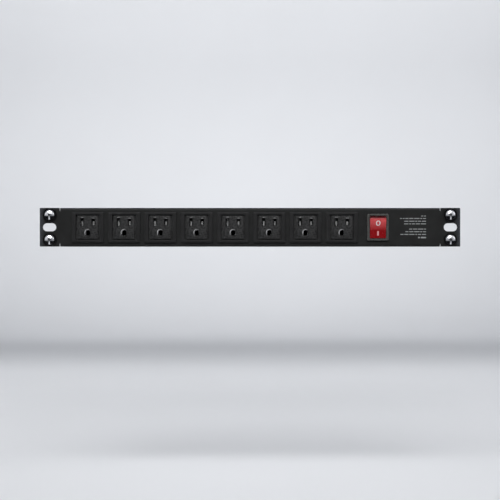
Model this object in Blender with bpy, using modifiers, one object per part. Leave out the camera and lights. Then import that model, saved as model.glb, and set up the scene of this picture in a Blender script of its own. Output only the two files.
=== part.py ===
"""Rack power strip: a 19-inch, 1U strip with eight three-pin outlets and a lighted rocker switch.

Metres, +X to the right, +Y to the back of the rack, +Z up. The origin is the centre of the rack
plane, the plane of the ears' back faces. The switch is modelled at rest in its ON position.
"""

import math

import bmesh
import bpy
from mathutils import Matrix, Vector

MM = 0.001
GAP = 0.3 * MM  # between pieces that touch
CUT = 2.0 * MM  # how far a cutter stands out of what it cuts

# Strip
STRIP_WIDTH = 482.6 * MM  # 19 inches over the ears
STRIP_HEIGHT = 44.4 * MM  # 1U
BODY_WIDTH = 436.0 * MM
BODY_DEPTH = 44.4 * MM
FRONT_SHEET = 2.0 * MM  # front cover and ears, one sheet
REAR_SHEET = 1.5 * MM
BEND_RADIUS = 3.0 * MM
BEND_RELIEF = 0.5 * MM  # notch between each fold's end and the ear
REAR_BEND_RADIUS = 1.8 * MM
HALF_HEIGHT = STRIP_HEIGHT / 2
FRONT_Y = -FRONT_SHEET
PANEL_BACK_Y = 0.0
BACK_Y = FRONT_Y + BODY_DEPTH
COVER_HALF_HEIGHT = HALF_HEIGHT - FRONT_SHEET - GAP
COVER_INNER_Y = BACK_Y - REAR_SHEET

# Slots in the ears, and the screws' places
RACK_SCREW_X = 229.7 * MM
RACK_SCREW_Z = 14.2 * MM
SCREW_SLOT_X = 231.1 * MM
SCREW_SLOT_Z = 15.0 * MM
SCREW_SLOT_LENGTH = 12.4 * MM
SCREW_SLOT_TALL = 8.2 * MM
MIDDLE_SLOT_X = 230.05 * MM
MIDDLE_SLOT_LENGTH = 15.3 * MM
MIDDLE_SLOT_TALL = 9.3 * MM

# Pan-head screws: (head radius, head height, shank radius, length)
RACK_SCREW = (5.6 * MM, 3.8 * MM, 3.0 * MM, 15.5 * MM)
GROUND_SCREW = (3.8 * MM, 2.3 * MM, 2.0 * MM, 5.0 * MM)
M4_HOLE = 2.3 * MM  # radius of a clearance hole
PAN_EDGE = 0.35  # share of a pan head's height that is its straight edge

# Cup washers under the rack screws
WASHER_RADIUS = 7.9 * MM
WASHER_HOLE = 3.3 * MM
WASHER_FLOOR = 1.3 * MM
WASHER_HEIGHT = 3.0 * MM
WASHER_RIM = (5.9 * MM, 6.6 * MM)  # inner and outer radius of the rim's top
WASHER_EDGE = 1.2 * MM  # height of the washer's straight outer edge

# Countersunk cover screws
COVER_SCREW_X = (-180 * MM, 0.0, 180 * MM)
COVER_SCREW_Y = 36.4 * MM
COVER_FLANGE = 12.0 * MM
COVER_HEAD = (2.8 * MM, 1.3 * MM)  # radius and depth of the head
COVER_SHANK = 1.5 * MM
COVER_SCREW_LENGTH = 6.0 * MM
COVER_SCREW_SUNK = 0.05 * MM  # how far the head lies under the sheet's face
COVER_HOLE = 1.8 * MM
COUNTERSINK = (3.4 * MM, 1.6 * MM)  # radius at the mouth and at the floor
COUNTERSINK_OVER = 0.3 * MM  # how far the countersink's cutter stands out of the sheet

# Outlets
OUTLETS = 8
OUTLET_PITCH = 41.63 * MM
FIRST_OUTLET_X = -186.0 * MM
BLADE_X = 6.35 * MM  # half the distance between the two blade slots
PIN_Z = 5.93 * MM  # blade row above, and ground pin below, the outlet's centre
NEUTRAL_SLOT = (2.6 * MM, 8.6 * MM)
LINE_SLOT = (2.6 * MM, 6.8 * MM)
GROUND_RADIUS = 2.75 * MM
GROUND_FLOOR_Z = -9.3 * MM
FRAME_SIZE = (36.8 * MM, 35.2 * MM)
FRAME_THICK = 1.6 * MM
FRAME_OPENING = (27.2 * MM, 28.8 * MM)
FRAME_BEVEL = 0.4 * MM
SLEEVE_SIZE = (30.4 * MM, 32.0 * MM)
SLEEVE_END_Y = 3.4 * MM
LATCH_HALF_WIDTH = 4.0 * MM
LATCH_RISE = 0.9 * MM
LATCH_ROOT = 0.4 * MM  # how far a latch reaches into the wall it grows from
CORE_FACE = (24.0 * MM, 26.6 * MM)
CORE_BODY = (26.6 * MM, 28.2 * MM)
CORE_LIP = (30.0 * MM, 31.4 * MM)
CORE_FACE_Y = -3.7 * MM
CORE_SHOULDER_Y = -1.9 * MM
CORE_INNER_Y = -1.5 * MM
CORE_END_Y = 19.0 * MM
CORE_WALL = 1.5 * MM
CORE_LIP_THICK = 1.5 * MM
CORE_RIB = 0.6 * MM  # half the thickness of the wall between the blades' rooms
CORE_SHELF = (-1.9 * MM, -0.7 * MM)  # z of the wall between the blades' rooms and the ground's

# Bus bars: a flat strip with pairs of contact leaves folded off it, which reach into the slots
BAR_THICK = 0.8 * MM
BAR_FRONT_Y = 8.0 * MM
BAR_BACK_Y = 15.0 * MM
BAR_START_X = FIRST_OUTLET_X - 15.0 * MM
BAR_END_X = FIRST_OUTLET_X + (OUTLETS - 1) * OUTLET_PITCH + 18.6 * MM
LEAF_THICK = 0.5 * MM
BARS = {
    # name: (strip's lower z, lower and upper z of the leaves' tips, tips' front y,
    #        leaf pair's x in the outlet, half the gap between leaves)
    "neutral": (10.2 * MM, 1.7 * MM, 6.9 * MM, -1.0 * MM, -BLADE_X, 0.2 * MM),
    "line": (0.4 * MM, 2.6 * MM, 6.9 * MM, -1.0 * MM, BLADE_X, 0.2 * MM),
    "ground": (-11.0 * MM, -9.0 * MM, -3.6 * MM, 2.0 * MM, 0.0, 2.3 * MM),
}

# Insulating cover behind the bars
BAR_COVER_WALL = 1.3 * MM
BAR_COVER_FLOOR = 1.5 * MM
BAR_COVER_LIP = 5.0 * MM  # how far its lips reach over the cores

# Switch
SWITCH_X = 146.7 * MM
BEZEL_SIZE = (24.8 * MM, 30.6 * MM)
BEZEL_THICK = 2.2 * MM
BEZEL_CORNER = 1.2 * MM
BEZEL_EDGE = 0.8 * MM
HOUSING_SIZE = (21.6 * MM, 28.4 * MM)
WELL_SIZE = (19.1 * MM, 27.1 * MM)
HOUSING_END_Y = 19.0 * MM
WELL_END_Y = 16.0 * MM
PIVOT_Y = -0.2 * MM
PIVOT_RADIUS = 1.5 * MM
PIVOT_LENGTH = 0.8 * MM
TILT = math.radians(12)  # to each side of the middle
ROCKER_WIDTH = 18.5 * MM
ROCKER_RADIUS = 13.22 * MM  # the ends are arcs about the pivot
ROCKER_MIDDLE = 4.09 * MM  # from the pivot forward to where the two halves' planes meet
ROCKER_BLEND = 5.0 * MM
ROCKER_WALL = 1.6 * MM
ROCKER_SKIRT = 3.1 * MM
STEM_X = -4.0 * MM
STEM_RADIUS = 2.6 * MM
STEM_START = -3.4 * MM  # these are from the pivot back
STEM_END = 7.4 * MM
STEM_BORE = 1.75 * MM
STEM_BORE_START = 1.2 * MM
PLUNGER_RADIUS = 1.4 * MM
PLUNGER_START = 5.4 * MM
PLUNGER_TIP = 11.7 * MM
PLUNGER_NOSE = 1.2 * MM
PLUNGER_STEPS = 12
SPRING_RADIUS = 1.2 * MM
SPRING_WIRE = 0.2 * MM
SPRING_TURNS = 4
LAMP_X = 3.5 * MM
LAMP_Y = 1.0 * MM
LAMP_RADIUS = 1.8 * MM
LAMP_LENGTH = 9.0 * MM
LAMP_POST = (0.6 * MM, 0.5 * MM)  # half sizes along X and Z
LAMP_POST_Z = 3.0 * MM
LAMP_POST_START = -3.8 * MM
CONTACT_PIVOT_Y = 12.6 * MM
CONTACT_TILT = math.radians(6)
CONTACT_HALF = 8.0 * MM
CONTACT_WIDTH = 4.0 * MM
CONTACT_NOTCH = 0.4 * MM
TERMINAL_WIDTH = 6.3 * MM
TERMINAL_THICK = 0.8 * MM
TERMINAL_END_Y = 28.0 * MM
TERMINAL_Z = 8.6 * MM
TERMINAL_REACH = 3.0 * MM  # length of the fixed contacts under the tilting one

# Cord gland, at the back
GLAND_X = 190.0 * MM
GLAND_THREAD = 9.1 * MM
GLAND_THREAD_LENGTH = 7.0 * MM  # inside the rear cover
GLAND_BORE = 5.6 * MM
GLAND_HEX = 13.0 * MM
GLAND_FLANGE = 6.0 * MM
GLAND_TUBE = 8.6 * MM
GLAND_TUBE_LENGTH = 8.0 * MM
GLAND_SEAT = 7.2 * MM
GLAND_SEAT_DEPTH = 2.5 * MM  # into the flange
LOCKNUT_THICK = 4.0 * MM
SEAL_RADII = (4.9 * MM, 6.9 * MM)
SEAL_STANDS_OUT = 1.0 * MM  # past the tube's end
CAP_BORE = 5.4 * MM
CAP_SKIRT_BORE = 8.9 * MM
CAP_RADIUS = 11.9 * MM
CAP_TOP = ((6.2 * MM, 3.0 * MM), (9.6 * MM, 2.2 * MM))  # radius and height over the seal
CAP_SHOULDER = 1.6 * MM  # below the seal's end

# Ground point, on the rear cover
GROUND_X = 166.0 * MM
GROUND_Z = -9.0 * MM
LUG_THICK = 0.8 * MM
LUG_RADIUS = 4.4 * MM
LUG_TONGUE = (13.0 * MM, 3.0 * MM, 2.0 * MM)  # start and end from the screw, and half width

# Wires
WIRE_RADIUS = 1.3 * MM
LEAD = 3.0 * MM  # straight start of each wire
FIRST_BEND = 8.0 * MM  # where each wire's first bend ends

FINE = 32  # steps round a visible turned piece
COARSE = 16


def clear_scene():
    for obj in list(bpy.data.objects):
        bpy.data.objects.remove(obj, do_unlink=True)
    for block in list(bpy.data.collections):
        bpy.data.collections.remove(block)


def new_collection(name):
    made = bpy.data.collections.new(name)
    bpy.context.scene.collection.children.link(made)
    return made


def new_material(name, colour, metallic, roughness):
    made = bpy.data.materials.new(name)
    made.use_nodes = True
    shader = made.node_tree.nodes["Principled BSDF"]
    shader.inputs["Base Color"].default_value = (*colour, 1)
    shader.inputs["Metallic"].default_value = metallic
    shader.inputs["Roughness"].default_value = roughness
    made.diffuse_color = (*colour, 1)
    return made


clear_scene()
PARTS = new_collection("rack_power_strip")
CUTTERS = new_collection("cutters")
CUTTERS.hide_render = True

PAINTED_STEEL = new_material("painted_steel", (0.022, 0.023, 0.026), 0.0, 0.42)
FRAME_PLASTIC = new_material("frame_plastic", (0.022, 0.022, 0.023), 0.0, 0.35)
CORE_PLASTIC = new_material("core_plastic", (0.034, 0.034, 0.034), 0.0, 0.6)
BEZEL_PLASTIC = new_material("bezel_plastic", (0.05, 0.052, 0.055), 0.0, 0.25)
INNER_PLASTIC = new_material("inner_plastic", (0.75, 0.73, 0.68), 0.0, 0.5)
ROCKER_RED = new_material("rocker_red", (0.42, 0.012, 0.016), 0.0, 0.2)
LAMP_GLASS = new_material("lamp_glass", (0.9, 0.45, 0.25), 0.0, 0.1)
TINNED_BRASS = new_material("tinned_brass", (0.74, 0.72, 0.67), 1.0, 0.3)
ZINC = new_material("zinc", (0.8, 0.8, 0.82), 1.0, 0.22)
WASHER_BLACK = new_material("washer_black", (0.012, 0.012, 0.013), 0.0, 0.4)
GLAND_NYLON = new_material("gland_nylon", (0.02, 0.02, 0.02), 0.0, 0.45)
SEAL_RUBBER = new_material("seal_rubber", (0.03, 0.03, 0.03), 0.0, 0.8)
WIRE_BLACK = new_material("wire_black", (0.02, 0.02, 0.02), 0.0, 0.5)
WIRE_WHITE = new_material("wire_white", (0.8, 0.8, 0.78), 0.0, 0.5)
WIRE_GREEN = new_material("wire_green", (0.03, 0.3, 0.08), 0.0, 0.5)


def finish(obj, material=None, round_piece=False):
    """Puts an object in its collection: with a material it is a part, without one a cutter or tool."""
    for old in list(obj.users_collection):
        old.objects.unlink(obj)
    (PARTS if material else CUTTERS).objects.link(obj)
    if material:
        obj.data.materials.clear()
        obj.data.materials.append(material)
    else:
        obj.hide_render = True
        obj.display_type = "WIRE"
    if round_piece:
        obj.data.shade_smooth()
        obj.data.set_sharp_from_angle(angle=math.radians(30))
    return obj


def add_box(bm, low, high):
    """A box between two corners. Returns its vertices."""
    low, high = Vector(low), Vector(high)
    matrix = Matrix.Translation((low + high) / 2) @ Matrix.Diagonal((*(high - low), 1))
    return bmesh.ops.create_cube(bm, size=1, matrix=matrix)["verts"]


def add_rod(bm, start, end, radius, end_radius=None, steps=COARSE):
    """A cylinder, or a cone, between two points."""
    start, end = Vector(start), Vector(end)
    turn = Vector((0, 0, 1)).rotation_difference(end - start).to_matrix().to_4x4()
    bmesh.ops.create_cone(
        bm,
        cap_ends=True,
        segments=steps,
        radius1=radius,
        radius2=radius if end_radius is None else end_radius,
        depth=(end - start).length,
        matrix=Matrix.Translation((start + end) / 2) @ turn,
    )


def from_bmesh(name, bm, material=None, round_piece=False):
    mesh = bpy.data.meshes.new(name)
    bm.to_mesh(mesh)
    bm.free()
    return finish(bpy.data.objects.new(name, mesh), material, round_piece)


def box_at(x, z, size, y_low, y_high):
    """Corners of a box that faces the front: centred at x, z, size (wide, tall)."""
    half_wide, half_tall = size[0] / 2, size[1] / 2
    return (x - half_wide, y_low, z - half_tall), (x + half_wide, y_high, z + half_tall)


def boxes(name, corners, material=None):
    bm = bmesh.new()
    for low, high in corners:
        add_box(bm, low, high)
    return from_bmesh(name, bm, material)


def boolean(obj, other, operation="DIFFERENCE"):
    modifier = obj.modifiers.new(f"{operation.lower()} {other.name}", "BOOLEAN")
    modifier.operation = operation
    modifier.solver = "EXACT"
    modifier.object = other
    return obj


def evaluated_mesh(obj):
    bpy.context.view_layer.update()
    graph = bpy.context.evaluated_depsgraph_get()
    return bpy.data.meshes.new_from_object(obj.evaluated_get(graph))


def baked(obj):
    """Applies an object's modifiers to its mesh, so that copies can share it."""
    mesh = evaluated_mesh(obj)
    obj.modifiers.clear()
    obj.data = mesh
    return obj


def outline(name, points, low, high, along, material=None, round_piece=False):
    """A flat outline extruded along X, Y or Z, from low to high. Points are (y, z), (x, z) or (x, y)."""
    turns = {
        "X": Matrix(((0, 0, 1, 0), (1, 0, 0, 0), (0, 1, 0, 0), (0, 0, 0, 1))),
        "Y": Matrix(((1, 0, 0, 0), (0, 0, -1, 0), (0, 1, 0, 0), (0, 0, 0, 1))),
        "Z": Matrix.Identity(4),
    }
    curve = bpy.data.curves.new(name, "CURVE")
    curve.dimensions = "2D"
    curve.fill_mode = "BOTH"
    curve.extrude = (high - low) / 2
    spline = curve.splines.new("POLY")
    spline.points.add(len(points) - 1)
    for point, (a, b) in zip(spline.points, points):
        point.co = (a, b, 0, 1)
    spline.use_cyclic_u = True
    guide = finish(bpy.data.objects.new(name + " outline", curve))
    mesh = evaluated_mesh(guide)
    bpy.data.objects.remove(guide)
    middle = Vector([(low + high) / 2 if axis == along else 0 for axis in "XYZ"])
    mesh.transform(Matrix.Translation(middle) @ turns[along])
    bm = bmesh.new()
    bm.from_mesh(mesh)
    bmesh.ops.remove_doubles(bm, verts=bm.verts, dist=1e-6)
    bmesh.ops.recalc_face_normals(bm, faces=bm.faces)
    bm.to_mesh(mesh)
    bm.free()
    return finish(bpy.data.objects.new(name, mesh), material, round_piece)


def arc(centre, radius, start, end, steps=6):
    """Points on an arc; the angles are in degrees."""
    angles = [math.radians(start + (end - start) * i / steps) for i in range(steps + 1)]
    return [(centre[0] + radius * math.cos(a), centre[1] + radius * math.sin(a)) for a in angles]


def obround(x, z, length, tall, steps=10):
    """Outline of a slot that runs along X, with round ends."""
    radius = tall / 2
    reach = length / 2 - radius
    right = arc((x + reach, z), radius, -90, 90, steps)
    left = arc((x - reach, z), radius, 90, 270, steps)
    return right + left


def turned(name, profile, location, outward, material, steps=FINE, closed=False):
    """A turned piece. The profile is (radius, height) down its outer side; its axis points outward."""
    mesh = bpy.data.meshes.new(name)
    edges = [(i, i + 1) for i in range(len(profile) - 1)]
    if closed:
        edges.append((len(profile) - 1, 0))
    mesh.from_pydata([(radius, 0, height) for radius, height in profile], edges, [])
    obj = bpy.data.objects.new(name, mesh)
    obj.location = location
    obj.rotation_euler = Vector((0, 0, 1)).rotation_difference(Vector(outward)).to_euler()
    screw = obj.modifiers.new("turn", "SCREW")
    screw.steps = screw.render_steps = steps
    screw.use_merge_vertices = True
    screw.merge_threshold = 1e-5
    screw.use_smooth_shade = True
    return finish(obj, material)


def pan_screw(head_radius, head_height, shank_radius, length):
    """Profile of a pan-head screw whose seat is at height 0."""
    edge = head_height * PAN_EDGE
    dome = [
        (head_radius * math.sin(a), edge + (head_height - edge) * math.cos(a))
        for a in [math.radians(90 * i / 5) for i in range(6)]
    ]
    return dome + [(head_radius, 0), (shank_radius, 0), (shank_radius, -length), (0, -length)]


def front_cover():
    """One folded sheet: the front panel with its flanges, its ears and the windows cut in it."""
    bm = bmesh.new()
    add_box(
        bm,
        (-BODY_WIDTH / 2, FRONT_Y, -HALF_HEIGHT),
        (BODY_WIDTH / 2, BACK_Y, HALF_HEIGHT),
    )
    open_faces = [f for f in bm.faces if abs(f.normal.x) > 0.5 or f.normal.y > 0.5]
    bmesh.ops.delete(bm, geom=open_faces, context="FACES")
    folds = [e for e in bm.edges if len(e.link_faces) == 2]
    bmesh.ops.bevel(bm, geom=folds, offset=BEND_RADIUS, segments=5, profile=0.5, affect="EDGES")
    cover = from_bmesh("front_cover", bm, PAINTED_STEEL)
    add_thickness(cover, FRONT_SHEET)
    for side in (-1, 1):
        add_ear(cover, side)
    window = (SLEEVE_SIZE[0] + 2 * GAP, SLEEVE_SIZE[1] + 2 * GAP)
    switch_window = (HOUSING_SIZE[0] + 2 * GAP, HOUSING_SIZE[1] + 2 * GAP)
    y_range = (FRONT_Y - CUT, PANEL_BACK_Y + CUT)
    cuts = [box_at(x, 0, window, *y_range) for x in outlet_places()]
    cuts.append(box_at(SWITCH_X, 0, switch_window, *y_range))
    boolean(cover, boxes("panel windows", cuts))
    bm = bmesh.new()
    for x in COVER_SCREW_X:
        for side in (-1, 1):
            mouth = (x, COVER_SCREW_Y, side * (HALF_HEIGHT + COUNTERSINK_OVER))
            floor = (x, COVER_SCREW_Y, side * (HALF_HEIGHT - FRONT_SHEET - COUNTERSINK_OVER))
            add_rod(bm, mouth, floor, *COUNTERSINK)
    boolean(cover, from_bmesh("countersinks", bm))


def add_thickness(obj, thickness):
    """Turns a surface into sheet metal, inwards from it."""
    sheet = obj.modifiers.new("sheet", "SOLIDIFY")
    sheet.thickness = thickness
    sheet.offset = -1
    sheet.use_even_offset = True


def add_ear(cover, side):
    """Ear in one plane with the panel, joined to it between the two folds, with its three slots."""
    tab = HALF_HEIGHT - BEND_RADIUS - BEND_RELIEF
    root, start = BODY_WIDTH / 2 - CUT, BODY_WIDTH / 2 + BEND_RELIEF
    upper = [(root, tab), (start, tab), (start, HALF_HEIGHT), (STRIP_WIDTH / 2, HALF_HEIGHT)]
    points = [(side * x, z) for x, z in upper + [(x, -z) for x, z in reversed(upper)]]
    boolean(cover, outline(f"ear {side}", points, FRONT_Y, PANEL_BACK_Y, "Y"), "UNION")
    slots = [
        obround(side * SCREW_SLOT_X, z, SCREW_SLOT_LENGTH, SCREW_SLOT_TALL)
        for z in (-SCREW_SLOT_Z, SCREW_SLOT_Z)
    ]
    slots.append(obround(side * MIDDLE_SLOT_X, 0, MIDDLE_SLOT_LENGTH, MIDDLE_SLOT_TALL))
    for number, points in enumerate(slots):
        cutter = outline(f"ear slot {side} {number}", points, FRONT_Y - CUT, CUT, "Y")
        boolean(cover, cutter)


def rear_cover():
    """Tray that closes the back and both ends, with short top and bottom flanges."""
    bm = bmesh.new()
    front = FRONT_Y + BEND_RADIUS + GAP  # clear of the front cover's folds
    low = (-BODY_WIDTH / 2, front, -COVER_HALF_HEIGHT)
    high = (BODY_WIDTH / 2, BACK_Y, COVER_HALF_HEIGHT)
    add_box(bm, low, high)
    bmesh.ops.delete(bm, geom=[f for f in bm.faces if f.normal.y < -0.5], context="FACES")
    folds = [e for e in bm.edges if all(abs(v.co.y - BACK_Y) < 1e-6 for v in e.verts)]
    bmesh.ops.bevel(bm, geom=folds, offset=REAR_BEND_RADIUS, segments=3, profile=0.5,
                    affect="EDGES")
    cover = from_bmesh("rear_cover", bm, PAINTED_STEEL)
    add_thickness(cover, REAR_SHEET)
    inner = BODY_WIDTH / 2 - REAR_SHEET
    cut = ((-inner, front - CUT, -HALF_HEIGHT), (inner, BACK_Y - COVER_FLANGE, HALF_HEIGHT))
    boolean(cover, boxes("flange trim", [cut]))
    bm = bmesh.new()
    for x in COVER_SCREW_X:
        add_rod(bm, (x, COVER_SCREW_Y, -HALF_HEIGHT), (x, COVER_SCREW_Y, HALF_HEIGHT), COVER_HOLE)
    through = (COVER_INNER_Y - CUT, BACK_Y + CUT)
    gland = [(GLAND_X, y, 0) for y in through]
    ground = [(GROUND_X, y, GROUND_Z) for y in through]
    add_rod(bm, *gland, GLAND_THREAD + GAP, steps=FINE)
    add_rod(bm, *ground, M4_HOLE)
    boolean(cover, from_bmesh("cover holes", bm))


def case_screws():
    """Countersunk screws through both covers' flanges."""
    radius, depth = COVER_HEAD
    sunk = [
        (0, 0), (radius, 0), (COVER_SHANK, -depth), (COVER_SHANK, -COVER_SCREW_LENGTH),
        (0, -COVER_SCREW_LENGTH),
    ]
    for number, x in enumerate(COVER_SCREW_X, 1):
        for side, word in ((1, "top"), (-1, "bottom")):
            place = (x, COVER_SCREW_Y, side * (HALF_HEIGHT - COVER_SCREW_SUNK))
            turned(f"cover_screw_{word}_{number}", sunk, place, (0, 0, side), ZINC, COARSE)


def rack_fixings():
    """Four pan-head screws in dished cup washers, which hold the ears to the rack."""
    washer_back = FRONT_Y - GAP
    rim_inner, rim_outer = WASHER_RIM
    washer = [
        (rim_inner, WASHER_HEIGHT), (rim_outer, WASHER_HEIGHT), (WASHER_RADIUS, WASHER_EDGE),
        (WASHER_RADIUS, 0), (WASHER_HOLE, 0), (WASHER_HOLE, WASHER_FLOOR),
        (rim_inner, WASHER_FLOOR),
    ]
    head_seat = washer_back - WASHER_FLOOR - GAP
    pan = pan_screw(*RACK_SCREW)
    for side, word in ((-1, "left"), (1, "right")):
        for z, level in ((RACK_SCREW_Z, "upper"), (-RACK_SCREW_Z, "lower")):
            x = side * RACK_SCREW_X
            name = f"{word}_{level}"
            turned(f"cup_washer_{name}", washer, (x, washer_back, z), (0, -1, 0), WASHER_BLACK,
                   closed=True)
            turned(f"rack_screw_{name}", pan, (x, head_seat, z), (0, -1, 0), ZINC)


def outlet_places():
    return [FIRST_OUTLET_X + OUTLET_PITCH * i for i in range(OUTLETS)]


def add_latches(obj, x, top):
    """Wedges above and below a snap-in piece, which catch behind the panel."""
    for side in (-1, 1):
        wedge = [
            (PANEL_BACK_Y + GAP, side * (top - LATCH_ROOT)),
            (PANEL_BACK_Y + GAP, side * (top + LATCH_RISE)),
            (SLEEVE_END_Y - GAP, side * (top - LATCH_ROOT)),
        ]
        ends = (x - LATCH_HALF_WIDTH, x + LATCH_HALF_WIDTH)
        latch = outline(f"{obj.name} latch {side}", wedge, *ends, "X")
        boolean(obj, latch, "UNION")


def outlet_frame_mesh():
    """Snap-in bezel: a bevelled border in front of the panel and a sleeve through its window."""
    back = FRONT_Y - GAP
    front = back - FRAME_THICK
    bm = bmesh.new()
    add_box(bm, *box_at(0, 0, FRAME_SIZE, front, back))
    rim = [e for e in bm.edges if all(abs(v.co.y - front) < 1e-6 for v in e.verts)]
    bmesh.ops.bevel(bm, geom=rim, offset=FRAME_BEVEL, segments=2, profile=0.6, affect="EDGES")
    frame = from_bmesh("outlet frame", bm)
    sleeve = boxes("outlet sleeve", [box_at(0, 0, SLEEVE_SIZE, back - GAP, SLEEVE_END_Y)])
    boolean(frame, sleeve, "UNION")
    add_latches(frame, 0, SLEEVE_SIZE[1] / 2)
    opening = box_at(0, 0, FRAME_OPENING, front - CUT, SLEEVE_END_Y + CUT)
    boolean(frame, boxes("outlet opening", [opening]))
    return evaluated_mesh(frame)


def outlet_core_mesh():
    """Socket insert: face with two blade slots and an arched ground hole, hollow behind."""
    core = boxes("outlet face", [box_at(0, 0, CORE_FACE, CORE_FACE_Y, CORE_SHOULDER_Y + GAP)])
    body = boxes("outlet body", [box_at(0, 0, CORE_BODY, CORE_SHOULDER_Y, CORE_END_Y)])
    lip_y = SLEEVE_END_Y + GAP
    lip = boxes("outlet lip", [box_at(0, 0, CORE_LIP, lip_y, lip_y + CORE_LIP_THICK)])
    boolean(core, body, "UNION")
    boolean(core, lip, "UNION")
    half_wide = CORE_BODY[0] / 2 - CORE_WALL
    half_tall = CORE_BODY[1] / 2 - CORE_WALL
    under, over = CORE_SHELF
    end = CORE_END_Y + CUT
    rooms = [
        ((-half_wide, CORE_INNER_Y, over), (-CORE_RIB, end, half_tall)),
        ((CORE_RIB, CORE_INNER_Y, over), (half_wide, end, half_tall)),
        ((-half_wide, CORE_INNER_Y, -half_tall), (half_wide, end, under)),
    ]
    boolean(core, boxes("contact rooms", rooms))
    through = (CORE_FACE_Y - CUT, CORE_INNER_Y + CUT)
    slots = [
        box_at(-BLADE_X, PIN_Z, NEUTRAL_SLOT, *through),
        box_at(BLADE_X, PIN_Z, LINE_SLOT, *through),
    ]
    boolean(core, boxes("blade slots", slots))
    arch = arc((0, -PIN_Z), GROUND_RADIUS, 0, 180, 10)
    arch += [(-GROUND_RADIUS, GROUND_FLOOR_Z), (GROUND_RADIUS, GROUND_FLOOR_Z)]
    boolean(core, outline("ground hole", arch, *through, "Y"))
    notches = []
    for low, *_ in BARS.values():
        size = (CORE_LIP[0], BAR_THICK + 2 * GAP)
        notches.append(box_at(0, low + BAR_THICK / 2, size, BAR_FRONT_Y - GAP, end))
    boolean(core, boxes("bar notches", notches))
    return evaluated_mesh(core)


def outlets():
    frame, core = outlet_frame_mesh(), outlet_core_mesh()
    for number, x in enumerate(outlet_places(), 1):
        for name, mesh, material in (("frame", frame, FRAME_PLASTIC), ("core", core, CORE_PLASTIC)):
            piece = bpy.data.objects.new(f"outlet_{name}_{number}", mesh)
            piece.location.x = x
            finish(piece, material)


def bus_bars():
    """Three strips behind the outlets, each with two contact leaves for each outlet."""
    for name, (low, tip_low, tip_high, front, offset, half_gap) in BARS.items():
        bar = boxes(
            f"{name}_bus_bar",
            [((BAR_START_X, BAR_FRONT_Y, low), (BAR_END_X, BAR_BACK_Y, low + BAR_THICK))],
            TINNED_BRASS,
        )
        root = low + BAR_THICK / 2
        far, near = (tip_low, tip_high) if root > tip_high else (tip_high, tip_low)
        points = [
            (front, far), (BAR_BACK_Y, far), (BAR_BACK_Y, root), (BAR_FRONT_Y, root),
            (BAR_FRONT_Y, near), (front, near),
        ]
        bm = bmesh.new()
        for x in outlet_places():
            for side in (-1, 1):
                face = x + offset + side * half_gap
                add_leaf(bm, points, face, face + side * LEAF_THICK)
        bmesh.ops.recalc_face_normals(bm, faces=bm.faces)
        boolean(bar, from_bmesh(f"{name} leaves", bm), "UNION")


def add_leaf(bm, points, start, end):
    """A (y, z) outline extruded along X."""
    first, last = [[bm.verts.new((x, y, z)) for y, z in points] for x in (start, end)]
    bm.faces.new(first)
    bm.faces.new(last)
    for i in range(len(points)):
        bm.faces.new((first[i - 1], first[i], last[i], last[i - 1]))


def bus_bar_cover():
    """Insulating H-shaped channel, held by the rear cover, that keeps the bars and cores in place."""
    inner = CORE_BODY[1] / 2 + GAP
    outer = inner + BAR_COVER_WALL
    floor = CORE_END_Y + GAP
    back, lips = floor + BAR_COVER_FLOOR, CORE_END_Y - BAR_COVER_LIP
    legs = COVER_INNER_Y - GAP
    points = [
        (lips, inner), (lips, outer), (legs, outer), (legs, inner), (back, inner), (back, -inner),
        (legs, -inner), (legs, -outer), (lips, -outer), (lips, -inner), (floor, -inner),
        (floor, inner),
    ]
    places = outlet_places()
    reach = CORE_BODY[0] / 2
    outline("bus_bar_cover", points, places[0] - reach, places[-1] + reach, "X", FRAME_PLASTIC)


def rocker_outline(inset=0.0):
    """(y, z) outline of the rocker about its pivot, in the middle of its travel."""
    slope = math.tan(TILT)
    corner = ROCKER_RADIUS - inset
    middle = ROCKER_MIDDLE - inset
    root = math.sqrt(corner**2 * (1 + slope**2) - middle**2)
    half = (root - middle * slope) / (1 + slope**2)  # where a half's plane meets the end's arc
    face = []
    for i in range(13):
        z = half * (1 - i / 6)
        rise = abs(z) if abs(z) > ROCKER_BLEND else z * z / (2 * ROCKER_BLEND) + ROCKER_BLEND / 2
        face.append((-(middle + slope * rise), z))
    skirt = ROCKER_SKIRT + (MM if inset else 0)
    bottom = math.degrees(math.acos(skirt / corner))
    top_angle = math.degrees(math.atan2(face[0][1], face[0][0]))
    down = arc((0, 0), corner, -top_angle, -bottom, 5)
    up = arc((0, 0), corner, bottom, top_angle, 5)
    return face + down[1:] + up[:-1]


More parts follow.
